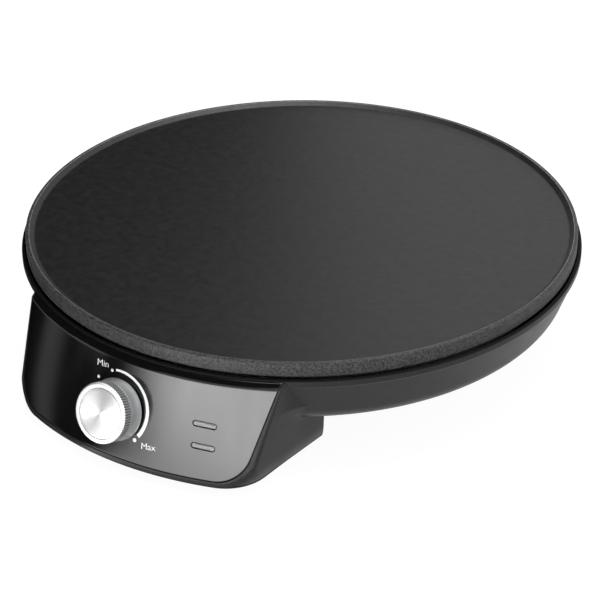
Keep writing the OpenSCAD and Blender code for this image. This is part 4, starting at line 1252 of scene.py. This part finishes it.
# %% [markdown]
# The sleeve's profile has a flared foot, a slightly waisted skirt, the grip, and a bevel round the
# face. The face disc sits in it with a fine groove between them, where the light breaks.

# %% Sleeve and face
knob_r, knob_h, knob_floor = 15.7, 14.2, 11.9
skirt = rounded([(0, knob_floor, 0), (13.6, knob_floor, 0.4), (13.6, 0.6, 0.2), (16.1, 0.6, 0.25),
                 (16.1, 1.4, 0.5), (15.6, 4.0, 6.0), (15.3, 8.0, 0.3), (knob_r, 8.4, 0)])
grip = [(knob_r, 8.4 + 4.6 * i / 22) for i in range(1, 22)]
bevel = rounded([(knob_r, 13.0, 0), (knob_r, 13.4, 0.3), (14.9, knob_h, 0.25),
                 (13.25, knob_h, 0.12), (13.1, 13.4, 0), (0, 13.4, 0)])
sleeve = spin("knob_sleeve", skirt + grip + bevel, steps=720)
run_modifier(sleeve, knurl_tree, {knurl_sizes["Material"]: turned_aluminium})
bevel_z = 13.3
slots_by_place(sleeve, (grip_aluminium, turned_aluminium),
               lambda middle, normal: int(middle.z > bevel_z))
sleeve.data.transform(knob_frame)
shade(sleeve, 40)
dress(sleeve, "knob", "knob", None, "knob")


def turn_map(piece):
    """A UV map about the z axis: u in turns, v the distance from the axis in metres."""
    layer = piece.data.uv_layers.new(name="turn")
    for face in piece.data.polygons:
        spots = [piece.data.vertices[i].co for i in face.vertices]
        turns = [atan2(p.y, p.x) / tau % 1 if p.xy.length > 1e-6 else None
                 for p in spots]
        known = [u for u in turns if u is not None]
        if known and max(known) - min(known) > 0.5:
            turns = [u + 1 if u is not None and u < 0.5 else u for u in turns]
            known = [u for u in turns if u is not None]
        middle = sum(known) / len(known)
        for i, p, u in zip(face.loop_indices, spots, turns):
            layer.data[i].uv = (middle if u is None else u, p.xy.length)


face_section = rounded([(0, 13.4, 0), (13.0, 13.4, 0), (13.0, 13.95, 0.2), (12.7, knob_h, 0.25),
                        (0, knob_h, 0)])
face_section = face_section[:-1] + [(r, knob_h) for r in (11, 9, 7, 5, 3, 1.5, 0.5, 0)]
disc = spin("knob_face", face_section, steps=240)
turn_map(disc)
disc.data.transform(knob_frame)
dress(disc, "knob", "knob_face", spun_aluminium, "knob_cap")

# %% [markdown]
# ## Windows, gland, feet and screws
#
# Each pilot window is a clear moulded bar with a rounded face and a wider flange behind the
# housing's wall. Its face lies a little deeper than the panel, and its opening is a little larger,
# so that the gap shows as a dark line. The window and its opening share one frame on the panel.

# %% Pilot windows
lens_size = (12.6, 2.9)
flange_z = -(panel_t + wall) * cos(tilt) - 0.4
lens_steps = [(1.3, flange_z - 0.9), (1.3, flange_z), (0, flange_z), (0, -0.95), (-0.06, -0.7),
              (-0.22, -0.5), (-0.45, -0.38), (-0.75, -0.32)]
for name, z in zip(("upper", "lower"), window_z):
    lens = round_bar(f"window_{name}", lens_size, lens_steps, window_frame(z), 40)
    dress(lens, "base", "windows", window_clear, f"{name}_window")

# %% [markdown]
# The feet are turned rubber with two fine grip rings underneath. The gland is moulded rubber, and
# its sleeve has shallow relief rings, so that a cord can bend in it.

# %% Feet and gland
foot_section = rounded([
    (0, 0.35, 0), (3.0, 0.35, 0.1), (3.0, 0, 0.1), (4.4, 0, 0.1), (4.4, 0.35, 0.1),
    (5.6, 0.35, 0.1), (5.6, 0, 0.1), (7.2, 0, 0.3), (8.0, 0.8, 0.5), (7.6, 3.0, 0.25),
    (2.0, 3.0, 0.1), (2.0, 5.1, 0.1), (2.9, 5.1, 0.2), (1.4, 8.0, 0.4), (0, 8.0, 0)], steps=3)
front_foot_x, front_foot_y = 54, -138
for row, x, y in (("front", front_foot_x, front_foot_y), ("rear", rear_leg_x, rear_leg_y)):
    for hand, side in (("left", -1), ("right", 1)):
        name = f"{row}_foot_{hand}"
        foot = spin(f"pad_{name}", foot_section, steps=72, frame_matrix=moved(side * x, y))
        dress(foot, "base", "feet", rubber, name)

gland_section = rounded([
    (3.4, -4.4, 0.2), (7.8, -4.4, 0.4), (7.8, -2.4, 0.4), (5.4, -2.4, 0.1), (5.4, 0, 0.1),
    (7.8, 0, 0.2), (7.8, 1.6, 0.7), (6.6, 2.4, 0.3), (5.4, 2.4, 0.3), (5.25, 3.3, 0.15),
    (4.9, 3.5, 0.15), (4.9, 4.0, 0.15), (5.2, 4.2, 0.15), (5.05, 5.0, 0.15), (4.7, 5.2, 0.15),
    (4.7, 5.7, 0.15), (5.0, 5.9, 0.15), (4.8, 7.0, 0.5), (3.4, 7.0, 0.3)], steps=3)
gland = spin("inlet_gland", gland_section, steps=72, closed=True,
             frame_matrix=gland_seat @ Matrix.Rotation(-pi / 2, 4, "X"))
dress(gland, "base", "gland", gland_rubber, "cord_gland")

# %% [markdown]
# The screws have pan heads with a cross recess and a real thread. The thread is a small
# four-sided bar swept along a helix by Geometry Nodes, and its outer part stands out of the core.
# Its turns, pitch, radius and depth are the tree's inputs.

# %% The thread tree
thread_tree, thread_sizes, size = new_tree("thread", {
    "Turns": 8.0, "Pitch": 0.0007, "Radius": 0.0014, "Depth": 0.0004})
helix = add(thread_tree, "GeometryNodeCurveSpiral", [
    ("Resolution", 28), ("Rotations", size["Turns"]), ("Start Radius", size["Radius"]),
    ("End Radius", size["Radius"]),
    ("Height", reckon(thread_tree, "MULTIPLY", size["Turns"], size["Pitch"]))])
tooth = add(thread_tree, "GeometryNodeCurvePrimitiveCircle", [("Resolution", 4),
                                                              ("Radius", size["Depth"])])
along = add(thread_tree, "GeometryNodeSplineParameter")
from_middle = reckon(thread_tree, "ABSOLUTE",
                     reckon(thread_tree, "SUBTRACT", along.outputs["Factor"], 0.5))
thin_ends = add(thread_tree, "ShaderNodeMapRange", [
    ("Value", from_middle), ("From Min", 0.5), ("From Max", 0.46), ("To Min", 0.1),
    ("To Max", 1.0)])
ridge = add(thread_tree, "GeometryNodeCurveToMesh", [
    ("Curve", helix), ("Profile Curve", tooth), ("Scale", thin_ends),
    ("Fill Caps", True)])
whole = add(thread_tree, "GeometryNodeJoinGeometry")
thread_tree.links.new(ridge.outputs[0], whole.inputs[0])
thread_tree.links.new(size["Geometry"], whole.inputs[0])
finish_tree(thread_tree, whole.outputs[0])


def screw(name, head_r, head_h, core_r, length, pitch):
    """A screw that stands on its head, whose face is at z = 0, with its shank upwards."""
    body = spin(name, rounded([
        (0, 0, 0), (head_r - 0.5, 0, 0.4), (head_r, head_h * 0.45, 0.4), (head_r, head_h, 0.1),
        (core_r, head_h, 0.1), (core_r, length - 0.8, 0.2), (core_r * 0.45, length, 0.2),
        (0, length, 0)]), steps=40)
    arm = head_r * 0.55
    for turn in (0, 90):
        recess = taper_bar("recess", -arm, arm, head_r * 0.13, head_r * 0.09, -0.2, head_h * 0.62)
        recess.data.transform(Matrix.Rotation(radians(turn), 4, "Z"))
        cut(body, recess)
    turns = (length - head_h - 1.6) / pitch
    thread = link("thread", bpy.data.meshes.new("thread"))
    run_modifier(thread, thread_tree, {
        thread_sizes["Turns"]: turns, thread_sizes["Pitch"]: pitch / 1000,
        thread_sizes["Radius"]: (core_r - 0.12) / 1000, thread_sizes["Depth"]: pitch * 0.00042})
    thread.data.transform(moved(0, 0, head_h + 0.7))
    face_outwards(thread.data)
    as_one(body, [body.data, thread.data])
    bpy.data.objects.remove(thread)
    return body


def as_one(piece, meshes):
    """Puts meshes side by side in the piece's own mesh."""
    build = bmesh.new()
    for mesh in meshes:
        build.from_mesh(mesh)
    build.to_mesh(piece.data)
    build.free()
    return shade(piece, 35)


def copies_at(name, piece, places):
    """One mesh with a copy of the piece at each place."""
    copies = []
    for where in places:
        copies.append(piece.data.copy())
        copies[-1].transform(where)
    bpy.data.objects.remove(piece)
    return as_one(link(name, bpy.data.meshes.new(name)), copies)


# %% Screws
cover_screw = screw("cover_screw", 3.2, 0.9, 1.25, 7.9, 0.7)
cover_set = copies_at("cover_screw_set", cover_screw, [
    moved(x, y, 3.1) @ Matrix.Rotation(radians(25 * i), 4, "Z")
    for i, (x, y) in enumerate(cover_posts)])
dress(cover_set, "base", "screws", plated_steel, "cover_screws")

plate_screw = screw("plate_screw", 4.0, 2.4, 1.65, 22.2, 0.8)
plate_set = copies_at("plate_screw_set", plate_screw, [
    Matrix.Rotation(radians(first + half_turn), 4, "Z") @ moved(screw_ring_r, 0, 30.6)
    for half_turn in (0, 180) for first in screw_pairs])
dress(plate_set, "base", "screws", plated_steel, "plate_screws")

# %% [markdown]
# The cover closes the pod from below. Its outline is the pod's own at that height, 2.2 mm further
# in, so that only a thin dark line of it shows under the pod.

# %% Cover
def cover_loop(inset):
    _, _, start, end = corner(pod_z)
    half = [start * i / 24 for i in range(24)] + [mix(start, end, i / 16) for i in range(17)]
    x0, s = side_line(pod_z)
    right = []
    for a in half:
        r = form_r(a, pod_z) - inset
        right.append((r * sin(a), -r * cos(a)))
    right.append((x0 - s * pod_rear - inset, -pod_rear - 0.4))
    return [(-x, y) for x, y in reversed(right[1:])] + right


cover_levels = ((2.7, 3.0), (2.4, 3.12), (2.2, 3.5), (2.2, pod_z))
cover = loft("bottom_cover", [[(x, y, z) for x, y in cover_loop(inset)]
                              for inset, z in cover_levels])
for x, y in cover_posts:
    cut(cover, pin(1.8, 2, 6, moved(x, y), steps=32), pin(3.4, 2, 4, moved(x, y), steps=48))
for side in (-1, 1):
    cut(cover, pin(foot_hole_r, 2, 6, moved(front_foot_x * side, front_foot_y), steps=32))
shade(cover, 30)
dress(cover, "base", "cover", cover_black, "pod_cover")

# %% [markdown]
# ## Inner pieces
#
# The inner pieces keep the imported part's own shapes, and each gets its finish.

# %% Finishes of the inner pieces
inner = {
    "heating_element": element_steel, "element_seals": steatite, "element_tabs": plated_steel,
    "heat_shield": sheet_steel, "sensor_bulb": copper, "bulb_strap": sheet_steel,
    "capillary_tube": copper, "thermal_fuse": steatite, "fuse_strap": sheet_steel,
    "thermostat_body": steatite, "thermostat_bush": brass, "thermostat_nut": brass,
    "thermostat_tabs": plated_steel, "thermostat_spindle": plated_steel,
    "knob_insert": insert_black, "lamp_holder": steatite, "neon_lamps": neon_glass,
    "terminal_block": steatite,
    "live_lead": lead_finishes["live"], "heater_lead": lead_finishes["heater"],
    "neutral_lead": lead_finishes["neutral"]}
for name, material in inner.items():
    mesh = nodes[name].data
    mesh.materials.clear()
    mesh.materials.append(material)
print(len(inner), "inner pieces,", len(dressed), "outer pieces")

# %% [markdown]
# ## Light and background
#
# The object stands on a plain pale floor in a plain studio. The camera, and rays that reflect or
# pass through, see an even white surround; other rays see a dimmer one, so that the soft lamps
# shape the object.

# %% Studio
scene = bpy.context.scene
scene.view_settings.view_transform = "Standard"


def empty_material(name):
    """A material whose tree starts empty, for what isn't a Principled shader."""
    material = bpy.data.materials.new(name)
    material.use_nodes = True
    material.node_tree.nodes.clear()
    return material


def looked_at(tree):
    """1 for rays of the camera, and those that pass through or reflect, and 0 for the others."""
    rays = add(tree, "ShaderNodeLightPath").outputs
    seen = reckon(tree, "MAXIMUM", rays["Is Camera Ray"], rays["Is Transmission Ray"])
    return reckon(tree, "MAXIMUM", seen, rays["Is Glossy Ray"])


floor_finish = empty_material("floor")
tree = floor_finish.node_tree
pale = add(tree, "ShaderNodeBsdfDiffuse", [("Color", rgba(0.80))])
thin_shade = add(tree, "ShaderNodeBsdfDiffuse", [("Color", rgba(0.09))])
glow = add(tree, "ShaderNodeEmission", [("Color", rgba(1.0)), ("Strength", 0.95)])
white_floor = add(tree, "ShaderNodeAddShader", [(0, thin_shade), (1, glow)])
either = add(tree, "ShaderNodeMixShader", [(0, looked_at(tree)), (1, pale),
                                           (2, white_floor)])
add(tree, "ShaderNodeOutputMaterial", [("Surface", either)])
far, floor_top = 3000, -0.2
floor = mesh_piece("floor", [(-far, -far, floor_top), (far, -far, floor_top),
                             (far, far, floor_top), (-far, far, floor_top)], [(0, 1, 2, 3)])
floor.data.materials.append(floor_finish)

world = bpy.data.worlds.new("studio")
scene.world = world
world.use_nodes = True
sky = world.node_tree
sky.nodes.clear()
dim = add(sky, "ShaderNodeBackground", [("Color", rgba(1.0)), ("Strength", 0.45)])
white = add(sky, "ShaderNodeBackground", [("Color", rgba(1.0)), ("Strength", 1.0)])
either = add(sky, "ShaderNodeMixShader", [(0, looked_at(sky)), (1, dim),
                                          (2, white)])
add(sky, "ShaderNodeOutputWorld", [("Surface", either)])


def soft_lamp(name, place_mm, aim_mm, width, height, watts):
    data = bpy.data.lights.new(name, "AREA")
    data.shape = "RECTANGLE"
    data.size, data.size_y, data.energy = width, height, watts
    lamp = bpy.data.objects.new(name, data)
    scene.collection.objects.link(lamp)
    start, aim = place(place_mm), place(aim_mm)
    turn = (aim - start).to_track_quat("-Z", "Y").to_matrix().to_4x4()
    lamp.matrix_world = Matrix.Translation(start) @ turn


plate_middle = (0, 0, 60)
soft_lamp("top_light", (150, 150, 1500), plate_middle, 0.9, 0.9, 16)
soft_lamp("side_light", (1300, 500, 900), plate_middle, 0.8, 0.8, 7)
print("lamps:", len(bpy.data.lights))

# %% [markdown]
# A glossy black surface has hardly any colour of its own: it shows what stands round it. So the
# studio has cards, as a photographer puts them. A long low card stands in front and a second one
# lies on the floor before the pod. Both carry the same light, which depends on the direction from
# the knob. It fades out to the left, with one weak patch far left, and to the right. The upright
# card also fades at its top, and at the floor the light is half as strong. Black flags stand at the
# left, in front, above and behind. Behind stands a bright card too, further right, and the plate's
# top mirrors both. Only the front card also lights the object. The others are seen by reflections
# alone.

# %% Cards
def card(name, corners_mm, material, diffuse=False):
    board = mesh_piece(name, corners_mm, [tuple(range(len(corners_mm)))])
    board.data.transform(Matrix.Translation((0, axis_y / 1000, 0)))
    board.data.materials.append(material)
    board.visible_camera = board.visible_shadow = board.visible_transmission = False
    board.visible_diffuse = diffuse


def upright(start, end, z0, z1):
    """The corners of a card that stands on a line between two points."""
    return [(*start, z0), (*end, z0), (*end, z1), (*start, z1)]


def level(z, *spots):
    return [(*spot, z) for spot in spots]


black_cloth = finish("black_cloth", 0.002, 1.0, Specular_IOR_Level=0.0)

lit_card = empty_material("lit_card")
tree = lit_card.node_tree
number, ramp = partial(reckon, tree), partial(fading, tree)
where = add(tree, "ShaderNodeTexCoord")
along = add(tree, "ShaderNodeSeparateXYZ", [(0, where.outputs["Object"])]).outputs
turn = number("ARCTAN2", number("ADD", along["X"], 0.02), number("SUBTRACT", -0.15, along["Y"]))
card_strength, patch_strength, foot_share = 10.0, 0.45, 0.5
light = number("MULTIPLY", ramp(turn, -0.62, -0.10), ramp(turn, 1.5, 0.4))
light = number("MULTIPLY", light, ramp(along["Z"], 0.30, 0.17))
foot = number("ADD", number("MULTIPLY", ramp(along["Z"], 0.0, 0.09), 1 - foot_share), foot_share)
light = number("MULTIPLY", number("MULTIPLY", light, foot), card_strength)
patch = number("MULTIPLY", ramp(turn, -1.50, -1.32), ramp(turn, -1.06, -1.28))
shine = add(tree, "ShaderNodeEmission", [
    ("Strength", number("ADD", light, number("MULTIPLY", patch, patch_strength)))])
add(tree, "ShaderNodeOutputMaterial", [("Surface", shine)])

bright_card = empty_material("bright_card")
tree = bright_card.node_tree
shine = add(tree, "ShaderNodeEmission", [("Strength", 0.95)])
add(tree, "ShaderNodeOutputMaterial", [("Surface", shine)])

card("front_card", upright((-900, -1160), (900, -1160), 0, 300), lit_card, diffuse=True)
card("floor_card", level(0.5, (-900, -1160), (900, -1160), (420, -560), (60, -190), (-30, -175),
                         (-90, -140), (-110, -60), (-900, -60)), lit_card)
card("left_flag", upright((-330, -60), (-330, -330), 90, 420), black_cloth)
card("front_flag", upright((-330, -330), (-150, -560), 150, 420), black_cloth)
card("roof_flag", level(420, (-330, -170), (190, -170), (190, -600), (-330, -600)), black_cloth)
card("back_flag", upright((-900, -400), (-255, 360), 60, 1800), black_cloth)
card("back_card", upright((-180, 470), (600, 620), 120, 1100), bright_card)

# %% [markdown]
# Last, the view layer is brought up to date.

# %% Update the view layer
bpy.context.view_layer.update()
